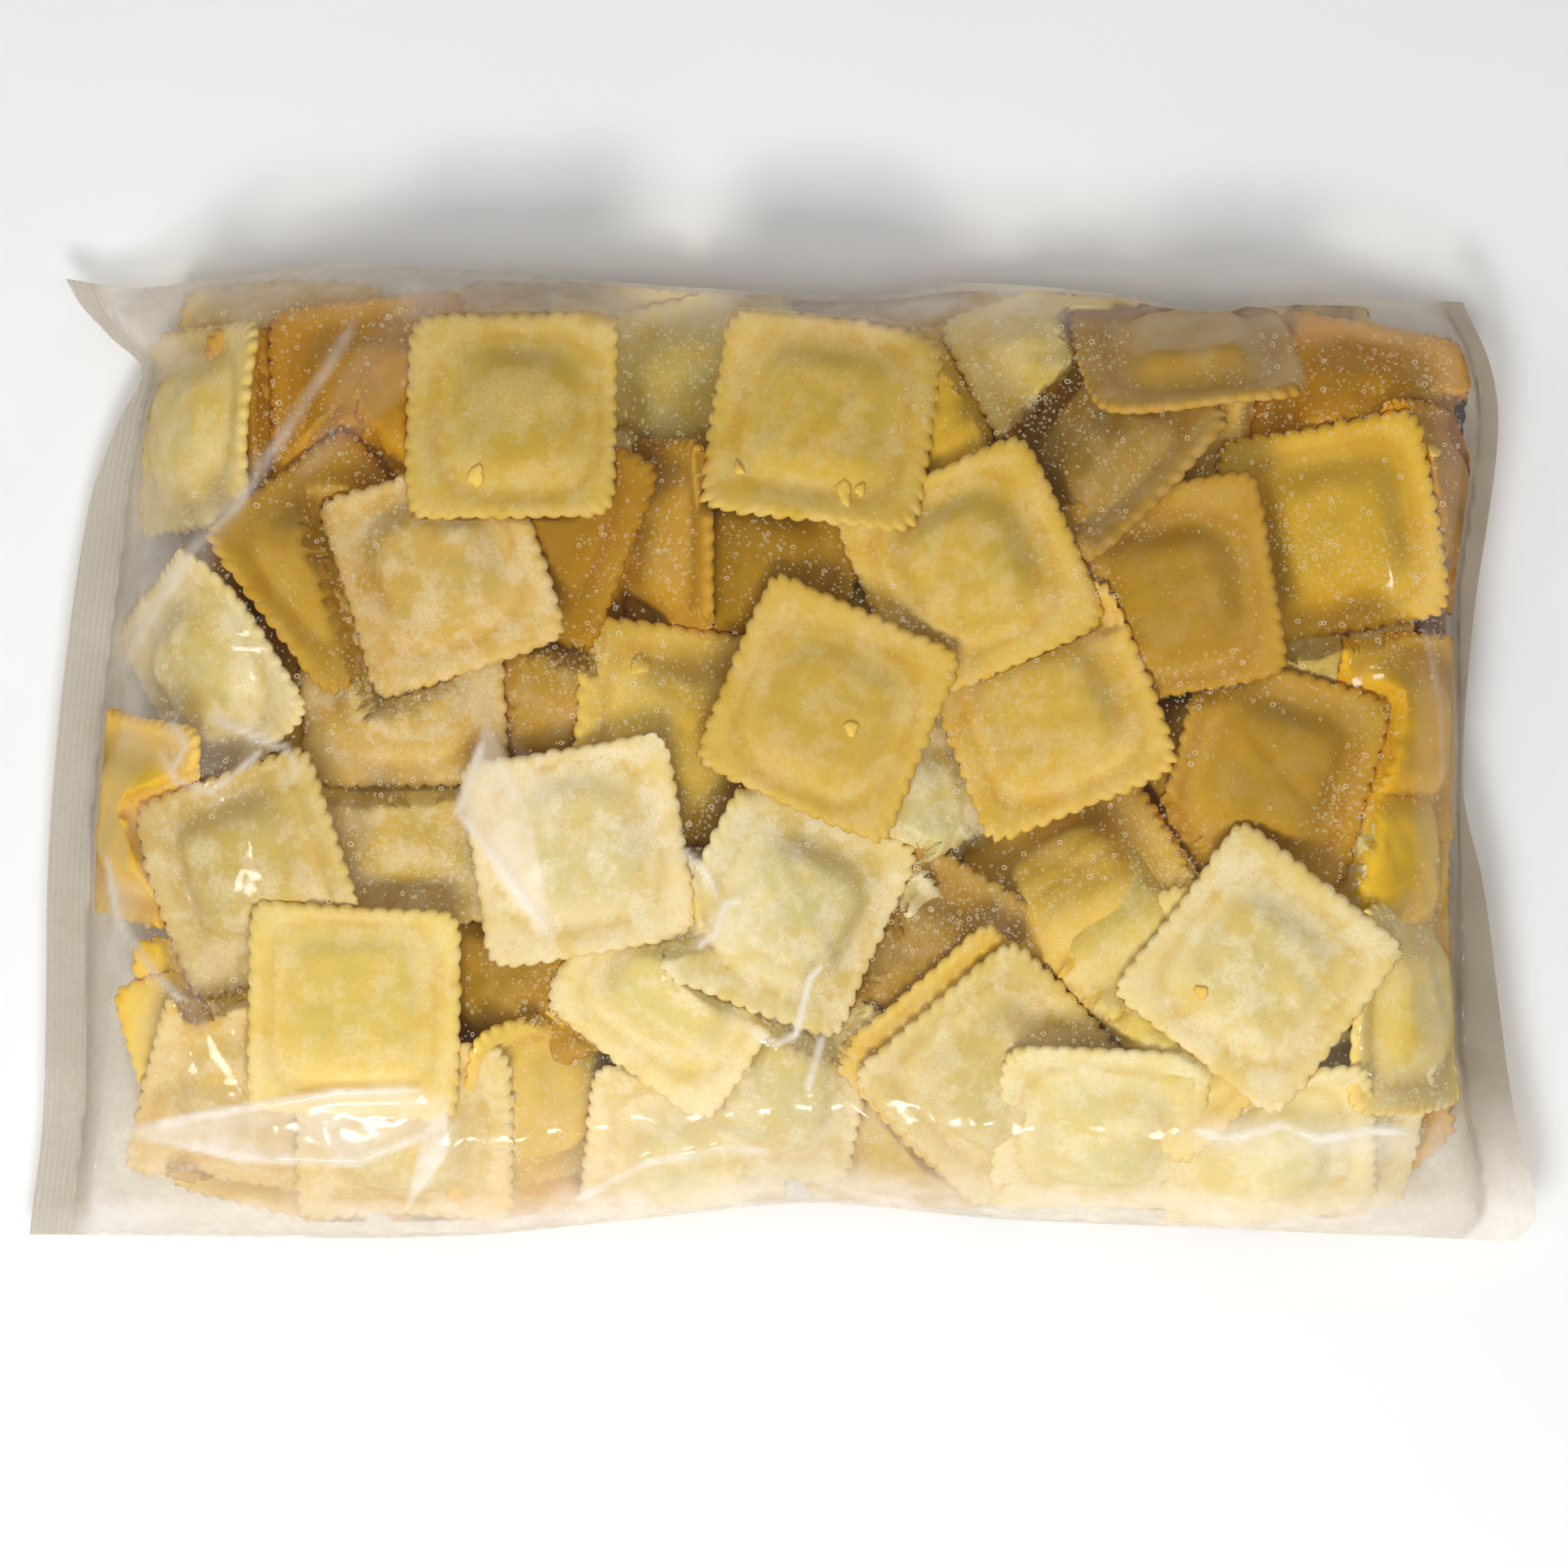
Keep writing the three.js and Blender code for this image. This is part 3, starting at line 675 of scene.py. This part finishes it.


# Creases of the film: width, height, whiteness, and the points they run through. The whiteness
# is partly milky folded film and partly a painted highlight along the ridge.
CREASES = [
    (4.2, 1.8, 0.38, [(-85, 100), (-95, 82), (-114, 53), (-124, 43), (-147, 8)]),
    (2.6, 1.2, 0.80, [(-146, -81), (-122, -76), (-93, -71), (-76, -70.6), (-70.5, -76)]),
    (2.6, 1.2, 0.80, [(-135, -79.5), (-114, -85), (-89, -86), (-75, -80), (-70, -75)]),
    (3.0, 1.0, 0.60, [(-61, 7), (-68, -12), (-58, -26), (-46.6, -41.5)]),
    (2.2, 0.9, 0.80, [(-21.5, -18.9), (-16, -25), (-12.6, -31.8)]),
    (2.4, 0.9, 0.80, [(-19, -41.5), (-14, -38), (-12, -32), (-7, -30)]),
    (2.2, 0.9, 0.80, [(-11, -55), (-1, -61), (3, -59), (6, -47), (11, -42)]),
    (2.4, 0.9, 0.80, [(9, -58), (7, -65), (5, -72)]),
    (2.4, 1.1, 0.60, [(-47, -96), (-28, -86), (-11, -83), (2, -84)]),
    (2.6, 1.3, 0.80, [(82, -78), (95, -81), (105, -78), (113, -81), (124, -79), (137, -80)]),
    (2.4, 0.8, 0.60, [(-133, 3), (-127, -6), (-120, -8), (-112, -2), (-107, 3)]),
    (2.2, 0.7, 0.60, [(-130, 8), (-125, 2), (-129, -5)]),
    (2.4, 0.8, 0.60, [(-122, 9), (-114, 5), (-104, 1), (-100, -6)]),
    (2.6, 1.0, 0.70, [(-143.6, -17), (-140.4, -35), (-132, -46), (-122.6, -55)]),
    (2.2, 0.9, 0.40, [(-147, 2), (-146, -10), (-144, -24)]),
    (2.4, 0.9, 0.30, [(-139, 95), (-135, 80), (-133, 60)]),
    (2.2, 0.8, 0.30, [(135, 30), (139, 10), (140, -10)]),
    (2.4, 0.9, 0.50, [(141, -40), (144, -60), (147, -82)]),
    (3.2, 0.8, 0.80, [(137, -88), (139, -85), (142, -82)]),
]


CREASE_FADE = 0.15  # share of a crease over which each end fades
CREASE_POWER = 1.3  # how sharp its ridge is


def crease_field(x, y):
    """Sharp ridges along the creases, fading at their ends: height, and whiteness,
    partly a painted highlight.
    """
    rise = np.zeros_like(x)
    crest_milk_and_highlight = np.zeros_like(x)
    for width, height, white, path in CREASES:
        length = sum(math.dist(a, b) for a, b in zip(path, path[1:]))
        before = 0.0
        best = np.full_like(x, 1e9)
        share = np.zeros_like(x)
        for a, b in zip(path, path[1:]):
            seg = math.dist(a, b)
            t = ((x - a[0]) * (b[0] - a[0]) + (y - a[1]) * (b[1] - a[1])) / seg ** 2
            t = np.clip(t, 0, 1)
            d = np.hypot(x - a[0] - t * (b[0] - a[0]), y - a[1] - t * (b[1] - a[1]))
            closer = d < best
            best = np.where(closer, d, best)
            share = np.where(closer, (before + t * seg) / length, share)
            before += seg
        ends = smooth(share, 0, CREASE_FADE) * (1 - smooth(share, 1 - CREASE_FADE, 1))
        form = ends * np.exp(-(best / width) ** CREASE_POWER * 2)
        rise = np.maximum(rise, height * form)
        crest_milk_and_highlight = np.maximum(crest_milk_and_highlight, white * smooth(form, 0.38, 0.95))
    return rise, crest_milk_and_highlight


# Milky facets of the creased film, partly milky film and partly painted glare where its folds
# catch the light: strength, softness of the border, corners.
FACETS = [
    (0.50, 1.6, [(-62, 8), (-68, -12), (-46.6, -42), (-53, -12)]),
    (0.18, 3.0, [(-62, 8), (-53, -12), (-46.6, -42), (-47, -6)]),
    (0.70, 1.4, [(-70, -73), (-76, -82), (-79.5, -97), (-70, -84)]),
    (0.42, 2.0, [(-146, -80), (-114, -85), (-89, -86), (-70, -80), (-70, -72), (-93, -71),
                 (-122, -76)]),
    (0.16, 2.2, [(-133, 9.5), (-128, -6), (-112, -3), (-109, 6)]),
    (0.12, 2.0, [(-131, -38), (-124, -58), (-119, -60), (-125, -40)]),
    (0.30, 3.0, [(138, -74), (134, -90), (150, -98), (152, -84)]),
    (0.26, 4.0, [(82, -76), (84, -84), (140, -86), (138, -78)]),
    (0.16, 4.0, [(-118, 60), (-136, 28), (-122, 36), (-104, 66)]),
    (0.10, 5.0, [(10, 90), (40, 84), (62, 86), (60, 96), (10, 97)]),
    (0.13, 4.0, [(-84, 101), (-92, 82), (-114, 52), (-104, 54), (-74, 80), (-70, 100)]),
    (0.16, 3.0, [(-24, -20), (-12, -42), (4, -52), (6, -40), (-8, -22)]),
]


def facet_milk_and_glare(x, y):
    total = np.zeros_like(x)
    for strength, soft, corners in FACETS:
        edges = list(zip(corners, corners[1:] + corners[:1]))
        way = math.copysign(1, sum(a[0] * b[1] - b[0] * a[1] for a, b in edges))
        depth = np.full_like(x, 1e9)
        for a, b in edges:
            side = ((b[0] - a[0]) * (y - a[1]) - (b[1] - a[1]) * (x - a[0])) / math.dist(a, b)
            depth = np.minimum(depth, way * side)
        total += strength * smooth(depth, -0.4 * soft, 0.6 * soft)
    return total


SEAL_COLUMNS = 34
BODY_COLUMNS = 368
FIN_COLUMNS = 12
ROWS = 236
RIB_PITCH = 1.25
RIB_DEPTH = 0.16
CRINKLE = 0.30
CRINKLE_LEFT = 0.5
CRINKLE_FINE = 0.05
SEAM_GAP = 0.12  # half of the space between the two films in the seal and the fin
LOWER_FILM_MIN = 0.25
UPPER_FILM_MIN = 0.6
UNDER_EVERY = 4  # the lower film has one in so many of the upper film's rows
UNDER_HAZE = 0.6  # its milkiness, as a share of the upper film's


def film_lines():
    """Grid of points seen from above: over the seal, the body and the fin."""
    j = np.arange(ROWS + 1) / ROWS
    t = 0.25 * j + 0.75 * (0.5 - 0.5 * np.cos(math.pi * j))
    x0 = curve(LEFT_EDGE, t)
    x1 = curve(RIGHT_EDGE, t)
    seal = curve(SEAL_WIDTHS, t)
    fin = curve(FIN_WIDTHS, t)
    body = x1 - fin - x0 - seal
    columns = [x0 + seal * i / SEAL_COLUMNS for i in range(SEAL_COLUMNS)]
    columns += [x0 + seal + body * i / BODY_COLUMNS for i in range(BODY_COLUMNS)]
    columns += [x1 - fin * (1 - i / FIN_COLUMNS) for i in range(FIN_COLUMNS + 1)]
    x = np.stack(columns)
    front = curve(FRONT_EDGE, x)
    y = front + (curve(BACK_EDGE, x) - front) * t
    return x, y


def band_wave(x, y, left, right):
    """Crimp ribs of the seal and the slow waves of both bands."""
    on_seal = 1 - smooth(left, -0.8, 0.8)
    ribs = RIB_DEPTH * np.sin(2 * math.pi * left / RIB_PITCH)
    slow = 0.5 * np.sin(y / 13.0) + 0.35 * np.sin(y / 5.3 + 1.2)
    on_fin = 1 - smooth(right, -0.6, 0.6)
    wave = 0.5 * np.sin(y / 7.0 + 0.5) + 0.35 * np.sin(y / 3.1)
    return on_seal * (ribs + slow) + on_fin * wave


def make_film(roof, rng):
    """The upper and the lower film, and the heights of the upper one before its creases."""
    skin = stretched(roof)
    x, y = film_lines()
    left, right, front, back = inside(x, y)
    seam = seam_height(left, right)
    z = sample(skin, x, y)
    free = np.clip(z - sample(np.maximum(roof, 0), x, y), 0, 12)
    loose = smooth(np.minimum(front, back), 0.5, 5) * smooth(left, 0, 4) * smooth(right, 0, 4)
    slack = np.clip((free - 0.4) / 4, 0.0, 1) * loose
    near_left = 1 - smooth(left, 0, 40)
    crinkle = CRINKLE * (1 - np.abs(noise_field(x, y, rng, 14)) * 2) * slack
    folds = 1 - np.abs(noise_field(x * 0.55, y, rng, 9)) * 2.2
    crinkle += CRINKLE_LEFT * near_left * slack * folds
    crinkle += CRINKLE_FINE * noise_field(x, y, rng, 5) * slack
    ridge, crest_milk_and_highlight = crease_field(x, y)
    upper = z + crinkle + ridge * loose
    wave = band_wave(x, y, left, right)
    rim = np.zeros_like(x, bool)
    rim[:, 0] = True
    rim[:, -1] = True
    upper = np.where(rim, seam, np.maximum(upper, seam + SEAM_GAP)) + wave
    lower = np.where(rim, seam, np.minimum(under_side(x, y), seam - SEAM_GAP)) + wave
    lower = np.maximum(lower, LOWER_FILM_MIN)
    upper = np.maximum(upper, UPPER_FILM_MIN)
    haze_and_glare, dull = haze_share(x, y, (left, right, front, back), free, crest_milk_and_highlight * loose)
    top = sheet_piece("film_upper", np.stack([x, y, upper, haze_and_glare, dull]), False)
    every = np.arange(0, ROWS + 1, UNDER_EVERY)
    under = np.stack([x, y, lower, UNDER_HAZE * haze_and_glare, dull])[:, :, every]
    bottom = sheet_piece("film_lower", under, True)
    return top, bottom, skin


# Milkiness of the film where it lies clear on the pasta, and what is added in each place.
HAZE_CLEAR = 0.006
HAZE_SEAL = 0.52
HAZE_FIN = 0.84
HAZE_LEFT = 0.30
HAZE_EMPTY = 0.16
HAZE_FRONT_EDGE = 0.44
HAZE_FRONT = 0.24
HAZE_BACK_EDGE = 0.40
HAZE_BACK = 0.03
HAZE_BACK_CLEARED = 0.8  # share of the back's haze that the right third of the bag lacks
HAZE_FRONT_LEFT = 0.06
HAZE_MOST = 0.85
# How far the haze is grey in each place.
DULL_SEAL = 0.6
DULL_LEFT = 0.28
DULL_BACK = 0.15


def haze_share(x, y, gaps, free, crest_milk_and_highlight):
    """Milkiness, and how far it is grey: the film that touches pasta is clear."""
    left, right, front, back = gaps
    border = np.minimum(left, np.minimum(front, back))
    empty = smooth(free, 5, 11) * (1 - smooth(border, 3, 14)) * smooth(border, -1, 1) * (right > 0)
    haze_and_glare = HAZE_CLEAR + HAZE_SEAL * (1 - smooth(left, -1, 2))
    haze_and_glare = haze_and_glare + HAZE_FIN * (1 - smooth(right, -0.5, 1.5))
    haze_and_glare += HAZE_LEFT * (1 - smooth(left, 0, 22)) * smooth(free, 1, 6) + HAZE_EMPTY * empty
    haze_and_glare += HAZE_FRONT_EDGE * (1 - smooth(front, 0, 10)) + HAZE_FRONT * (1 - smooth(front, 4, 46))
    behind = HAZE_BACK_EDGE * (1 - smooth(back, 1, 15)) + HAZE_BACK * (1 - smooth(back, 4, 28))
    haze_and_glare += behind * (1 - HAZE_BACK_CLEARED * smooth(x, 45, 75))
    haze_and_glare += HAZE_FRONT_LEFT * (1 - smooth(left, 10, 60)) * (1 - smooth(y, -50, -10))
    # the facets and the creases add painted glare and highlights to the film's milk
    haze_and_glare += facet_milk_and_glare(x, y) + crest_milk_and_highlight
    seal = DULL_SEAL - DULL_SEAL * smooth(left, -1, 6)
    dull = np.maximum(seal, (1 - smooth(right, -0.5, 5)) * smooth(y, -105, -60))
    dull = np.maximum(dull, DULL_LEFT * (1 - smooth(left, 5, 40)) * smooth(y, -60, -20))
    dull = np.maximum(dull, DULL_BACK * (1 - smooth(back, 6, 22)))
    return np.clip(haze_and_glare, 0, HAZE_MOST), dull


def sheet_piece(name, grid, flip):
    """A film from a grid of x, y, z, haze and dullness."""
    wide, deep = grid.shape[1:]
    i = np.arange(wide - 1)[:, None] * deep + np.arange(deep - 1)[None, :]
    a = i.ravel()
    quads = np.stack([a, a + deep, a + deep + 1, a + 1], -1)
    if flip:
        quads = quads[:, ::-1]
    return make_piece(name, grid[:3].reshape(3, -1).T, quads, {"haze_and_glare": grid[3], "dull": grid[4]})


# --- drops of water under the film ---------------------------------------------------
DROP_COUNT = 14000
DROP_SIDES = 6
DROP_LEAST = 0.15  # radius
DROP_SPREAD = 0.15
DROP_LARGE = 0.42
DROP_DEPTH = 0.3  # as a share of the radius
DROP_ROOM = (13, 4, 12, 8)  # kept free along the seal, the fin, the front and the back edge
DROP_ANYWHERE = 0.10  # weight of a place at which drops may hang,
DROP_OVER_GAPS = 2.0  # and what a gap under the film adds to it
DROP_PATCH = 38  # size of the patches with more drops
DROP_GAP = 0.02  # under the film


def make_drops(roof, skin, rng):
    """Flat domes of condensation, denser where the film hangs free over a gap."""
    free = np.clip(skin - np.maximum(roof, 0), 0, 14)
    inner = np.ones(free.shape, bool)
    for distance, room in zip(inside(CELL_X, CELL_Y), DROP_ROOM):
        inner &= distance > room
    weight = (DROP_ANYWHERE + smooth(free, 0.8, 6) * DROP_OVER_GAPS) * inner
    patches = 0.5 + 0.5 * noise_field(CELL_X, CELL_Y, rng, DROP_PATCH)
    weight = weight * (0.15 + patches ** 2)
    chance = weight.ravel() / weight.sum()
    picks = rng.choice(weight.size, size=DROP_COUNT, p=chance)
    cx = CELL_X.ravel()[picks] + rng.uniform(-0.5, 0.5, DROP_COUNT)
    cy = CELL_Y.ravel()[picks] + rng.uniform(-0.5, 0.5, DROP_COUNT)
    size = DROP_LEAST + DROP_SPREAD * rng.random(DROP_COUNT) ** 2
    size = size + DROP_LARGE * rng.random(DROP_COUNT) ** 14
    tall = 1 + 0.25 * np.sin(np.arange(DROP_COUNT) * 1.7)
    level = sample(skin, cx, cy) - DROP_GAP
    angle = np.arange(DROP_SIDES) * 2 * math.pi / DROP_SIDES
    ring = np.stack([cx[:, None] + (size * tall)[:, None] * np.cos(angle),
                     cy[:, None] + size[:, None] * np.sin(angle),
                     np.repeat(level[:, None], DROP_SIDES, 1)], -1)
    tip = np.stack([cx, cy, level - DROP_DEPTH * size], -1)[:, None, :]
    points = np.concatenate([ring, tip], 1).reshape(-1, 3)
    faces = np.array([((s + 1) % DROP_SIDES, s, DROP_SIDES) for s in range(DROP_SIDES)])
    faces = (faces[None] + np.arange(DROP_COUNT)[:, None, None] * (DROP_SIDES + 1)).reshape(-1, 3)
    edge = np.tile([1.0] * DROP_SIDES + [0.0], DROP_COUNT)
    return make_piece("drops", points, faces, {"edge": edge})


# --- materials -----------------------------------------------------------------------
class Nodes:
    """Short way to build a material's node tree."""

    def __init__(self, name):
        self.material = bpy.data.materials.new(name)
        self.material.use_nodes = True
        self.tree = self.material.node_tree
        self.tree.nodes.clear()

    def add(self, kind, values=None, **settings):
        node = self.tree.nodes.new(kind)
        for key, value in settings.items():
            setattr(node, key, value)
        for key, value in (values or {}).items():
            if isinstance(value, bpy.types.NodeSocket):
                self.tree.links.new(value, node.inputs[key])
            else:
                node.inputs[key].default_value = value
        return node

    def attribute(self, name):
        return self.add("ShaderNodeAttribute", attribute_name=name)

    def place(self):
        return self.add("ShaderNodeTexCoord").outputs["Object"]

    def noise(self, vector, scale, rough=0.55):
        values = {"Vector": vector, "Scale": scale, "Detail": 3.0, "Roughness": rough}
        return self.add("ShaderNodeTexNoise", values).outputs["Fac"]

    def ramp(self, value, low, high, start=0.0, end=1.0):
        values = {"Value": value, "From Min": low, "From Max": high, "To Min": start, "To Max": end}
        node = self.add("ShaderNodeMapRange", values, interpolation_type="SMOOTHSTEP")
        return node.outputs["Result"]

    def math(self, operation, a, b):
        return self.add("ShaderNodeMath", {0: a, 1: b}, operation=operation).outputs[0]

    def mix(self, factor, a, b, blend="MIX"):
        values = {0: factor, 6: a, 7: b}
        return self.add("ShaderNodeMix", values, data_type="RGBA", blend_type=blend).outputs[2]

    def blend(self, factor, a, b):
        return self.add("ShaderNodeMixShader", {0: factor, 1: a.outputs[0], 2: b.outputs[0]})

    def finish(self, shader):
        self.add("ShaderNodeOutputMaterial", {"Surface": shader.outputs[0]})
        return self.material


CLOUD_SCALE = 0.10
PATCH_SCALE = 0.13
SPECK_SCALE = 1.5
FILM_SCALE = 90.0
WATER_SCALE = 400.0
FLOOR_SCALE = 6.0
# Colours that the dough's own colour is multiplied by, or mixed with.
THIN_DRY = (1.03, 0.98, 0.82, 1)
THIN_WET = (1.03, 0.95, 0.45, 1)
FILLING_DRY = (0.84, 0.86, 0.72, 1)
FILLING_WET = (0.77, 0.72, 0.38, 1)
CLOUD_TINT = (0.93, 0.85, 0.52, 1)
GROOVE_PAINTED_SHADE = (0.82, 0.72, 0.50, 1)
FLOUR = (0.93, 0.88, 0.74, 1)
SPECK_TINT = (0.88, 0.82, 0.70, 1)


def dough_material():
    n = Nodes("pasta_dough")
    local = n.attribute("local").outputs["Vector"]
    marks = n.add("ShaderNodeSeparateXYZ", {"Vector": n.attribute("marks").outputs["Vector"]})
    pillow, rim, groove = marks.outputs
    tint = n.attribute("tone")
    tone, wet = tint.outputs["Color"], tint.outputs["Alpha"]
    cloud = n.noise(local, CLOUD_SCALE)
    patch = n.noise(local, PATCH_SCALE, 0.68)
    speck = n.noise(local, SPECK_SCALE, 0.7)
    thin = n.math("MULTIPLY", rim, n.ramp(patch, 0.35, 0.65, 0.2, 0.9))
    glassy = n.mix(wet, THIN_DRY, THIN_WET)
    color = n.mix(thin, tone, glassy, "MULTIPLY")
    green = n.math("MULTIPLY", pillow, n.ramp(cloud, 0.34, 0.60, 0.3, 1.0))
    filling = n.mix(wet, FILLING_DRY, FILLING_WET)
    color = n.mix(green, color, filling, "MULTIPLY")
    color = n.mix(n.ramp(cloud, 0.56, 0.36, 0.0, 0.8), color, CLOUD_TINT, "MULTIPLY")
    # painted shade in the groove round the pillow
    color = n.mix(n.math("MULTIPLY", groove, 0.7), color, GROOVE_PAINTED_SHADE, "MULTIPLY")
    pale = n.mix(0.6, tone, FLOUR)
    flour = n.math("MULTIPLY", n.ramp(patch, 0.42, 0.62), n.ramp(speck, 0.30, 0.70, 0.55, 1.0))
    flour = n.math("MULTIPLY", flour, n.ramp(wet, 0.0, 1.0, 1.0, 0.0))
    color = n.mix(n.math("MULTIPLY", flour, 0.8), color, pale)
    color = n.mix(n.ramp(speck, 0.52, 0.34, 0.0, 0.4), color, SPECK_TINT, "MULTIPLY")
    bump = n.add("ShaderNodeBump", {"Height": speck, "Strength": 0.2, "Distance": 0.0006})
    rough = n.ramp(flour, 0.0, 1.0, 0.45, 0.75)
    shader = n.add("ShaderNodeBsdfPrincipled", {
        "Base Color": color, "Roughness": rough, "Normal": bump.outputs["Normal"],
        "Specular IOR Level": 0.35})
    return n.finish(shader)


FILM_CLEAR = (0.99, 0.975, 0.94, 1)
MILK_WARM = (0.94, 0.90, 0.83, 1)
MILK_WHITE = (1.0, 0.97, 0.92, 1)
MILK_DULL = (0.45, 0.385, 0.30, 1)
SHADE_CLEAR = (0.965, 0.95, 0.90, 1)  # what light keeps on its way through clear film
SHADE_MILKY = (0.42, 0.41, 0.39, 1)
WHITE = (1, 1, 1, 1)
MILK_THROUGH = 0.4  # share of the light on milky film that passes through it
FILM_SHINE_MOST = 0.08


def film_material():
    n = Nodes("clear_film")
    haze_and_glare = n.attribute("haze_and_glare").outputs["Fac"]
    broad = n.noise(n.place(), FILM_SCALE, 0.6)
    bump = n.add("ShaderNodeBump", {"Height": broad, "Strength": 0.12, "Distance": 0.001})
    normal = bump.outputs["Normal"]
    uneven = n.math("MULTIPLY", haze_and_glare, n.ramp(broad, 0.3, 0.7, 0.7, 1.25))
    clear = n.add("ShaderNodeBsdfTransparent", {"Color": FILM_CLEAR})
    milk_color = n.mix(n.ramp(broad, 0.3, 0.7), MILK_WARM, MILK_WHITE)
    milk_color = n.mix(n.attribute("dull").outputs["Fac"], milk_color, MILK_DULL)
    front = n.add("ShaderNodeBsdfDiffuse", {"Color": milk_color, "Normal": normal})
    through = n.add("ShaderNodeBsdfTranslucent", {"Color": milk_color, "Normal": normal})
    body = n.blend(uneven, clear, n.blend(MILK_THROUGH, front, through))
    gloss = n.add("ShaderNodeBsdfGlossy", {"Color": WHITE, "Roughness": 0.1, "Normal": normal})
    fresnel = n.add("ShaderNodeFresnel", {"IOR": 1.45, "Normal": normal})
    shine = n.math("MINIMUM", fresnel.outputs[0], FILM_SHINE_MOST)
    seen = n.blend(shine, body, gloss)
    veil = n.mix(haze_and_glare, SHADE_CLEAR, SHADE_MILKY)
    shade = n.add("ShaderNodeBsdfTransparent", {"Color": veil})
    shadow = n.add("ShaderNodeLightPath").outputs["Is Shadow Ray"]
    return n.finish(n.blend(shadow, seen, shade))


WATER_CLEAR = (0.96, 0.95, 0.93, 1)
WATER_RING = (1.0, 0.93, 0.72, 1)  # the bright ring that light makes in a drop


def water_material():
    n = Nodes("water_drops")
    rough = n.ramp(n.noise(n.place(), WATER_SCALE), 0.3, 0.7, 0.03, 0.09)
    edge = n.attribute("edge").outputs["Fac"]
    clear = n.add("ShaderNodeBsdfTransparent", {"Color": WATER_CLEAR})
    bright = n.add("ShaderNodeBsdfDiffuse", {"Color": WATER_RING})
    ring = n.ramp(edge, 0.4, 0.95, 0.02, 0.5)
    body = n.blend(ring, clear, bright)
    gloss = n.add("ShaderNodeBsdfGlossy", {"Color": WHITE, "Roughness": rough})
    fresnel = n.add("ShaderNodeFresnel", {"IOR": 1.6})
    return n.finish(n.blend(fresnel.outputs[0], body, gloss))


FLOOR_DARK = (0.90, 0.90, 0.90, 1)
FLOOR_LIGHT = (0.93, 0.93, 0.93, 1)


def floor_material():
    n = Nodes("pale_floor")
    tone = n.mix(n.ramp(n.noise(n.place(), FLOOR_SCALE), 0.3, 0.7), FLOOR_DARK, FLOOR_LIGHT)
    shader = n.add("ShaderNodeBsdfPrincipled", {"Base Color": tone, "Roughness": 0.8})
    return n.finish(shader)


# --- stage ---------------------------------------------------------------------------
FLOOR_HALF = 6.0
FLOOR_LEVEL = -0.0002


def make_floor():
    mesh = bpy.data.meshes.new("floor")
    s = FLOOR_HALF
    mesh.from_pydata([(-s, -s, 0), (s, -s, 0), (s, s, 0), (-s, s, 0)], [], [(0, 1, 2, 3)])
    floor = add_object("floor", mesh)
    floor.location.z = FLOOR_LEVEL
    floor.data.materials.append(floor_material())


def add_light(name, place, size, power):
    """An area light aimed at the middle of the bag's underside."""
    light = bpy.data.lights.new(name, "AREA")
    light.shape = "RECTANGLE"
    light.size, light.size_y = size
    light.energy = power
    lamp = add_object(name, light)
    lamp.location = place
    aim = -np.array(place)
    yaw = math.atan2(aim[0], -aim[1])
    pitch = math.atan2(math.hypot(aim[0], aim[1]), -aim[2])
    lamp.rotation_euler = (pitch, 0, yaw + math.pi)
    return lamp


# Name, place, size, power, and whether the film mirrors it.
LIGHTS = [
    ("key", (-0.08, -0.52, 0.72), (0.36, 0.30), 4.7, False),
    ("fill", (0.1, -0.1, 1.4), (1.2, 1.0), 3.9, False),
    ("side", (-1.1, -0.1, 0.9), (0.6, 0.7), 2.3, False),
    ("rear", (0.0, 0.95, 0.9), (1.3, 0.6), 2.1, False),
    ("glint", (-0.12, -1.15, 1.25), (0.22, 0.16), 2.2, True),
    ("glint_left", (-1.25, -0.3, 1.25), (0.16, 0.16), 1.2, True),
    ("glint_right", (1.2, -0.25, 1.2), (0.14, 0.14), 1.0, True),
]
WORLD_STRENGTH = 0.16


def make_lights():
    world = bpy.data.worlds.new("studio")
    world.use_nodes = True
    back = world.node_tree.nodes["Background"]
    back.inputs["Color"].default_value = WHITE
    back.inputs["Strength"].default_value = WORLD_STRENGTH
    bpy.context.scene.world = world
    for name, place, size, power, mirrored in LIGHTS:
        lamp = add_light(name, place, size, power)
        lamp.visible_glossy = mirrored


IMAGE_CENTRE = (0.0005, -0.0064)  # metres, as is the rest of the stage
FRAME_WIDTH = 0.3323
CAMERA_HEIGHT = 3.0
SENSOR = 36  # millimetres
VIEW_END = 20


def make_camera():
    data = bpy.data.cameras.new("camera")
    data.sensor_width = SENSOR
    middle = SEAM_MID * MM
    data.lens = data.sensor_width * (CAMERA_HEIGHT - middle) / FRAME_WIDTH
    data.clip_end = VIEW_END
    camera = add_object("camera", data)
    camera.location = (*IMAGE_CENTRE, CAMERA_HEIGHT)
    bpy.context.scene.camera = camera
    bpy.context.scene.view_settings.view_transform = "Standard"


# --- the whole -----------------------------------------------------------------------
def main():
    rng = np.random.default_rng(20)
    dough = dough_material()
    film = film_material()
    heaps, roof, cover = lay_upper(rng)
    crumbs = lay_crumbs(rng, roof)
    pieces = [heaps[0].build("ravioli_upper_a"), heaps[1].build("ravioli_upper_b")]
    pieces.append(lay_lower(rng, cover).build("ravioli_lower"))
    pieces.append(crumbs.build("crumbs"))
    for piece in pieces:
        piece.data.materials.append(dough)
    upper, lower, skin = make_film(roof, rng)
    for piece in (upper, lower):
        piece.data.materials.append(film)
        pieces.append(piece)
    drops = make_drops(roof, skin, rng)
    drops.data.materials.append(water_material())
    pieces.append(drops)
    for piece in pieces:
        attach(piece, "root")
        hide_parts("bag")
    make_floor()
    make_lights()
    make_camera()


main()
bpy.context.view_layer.update()
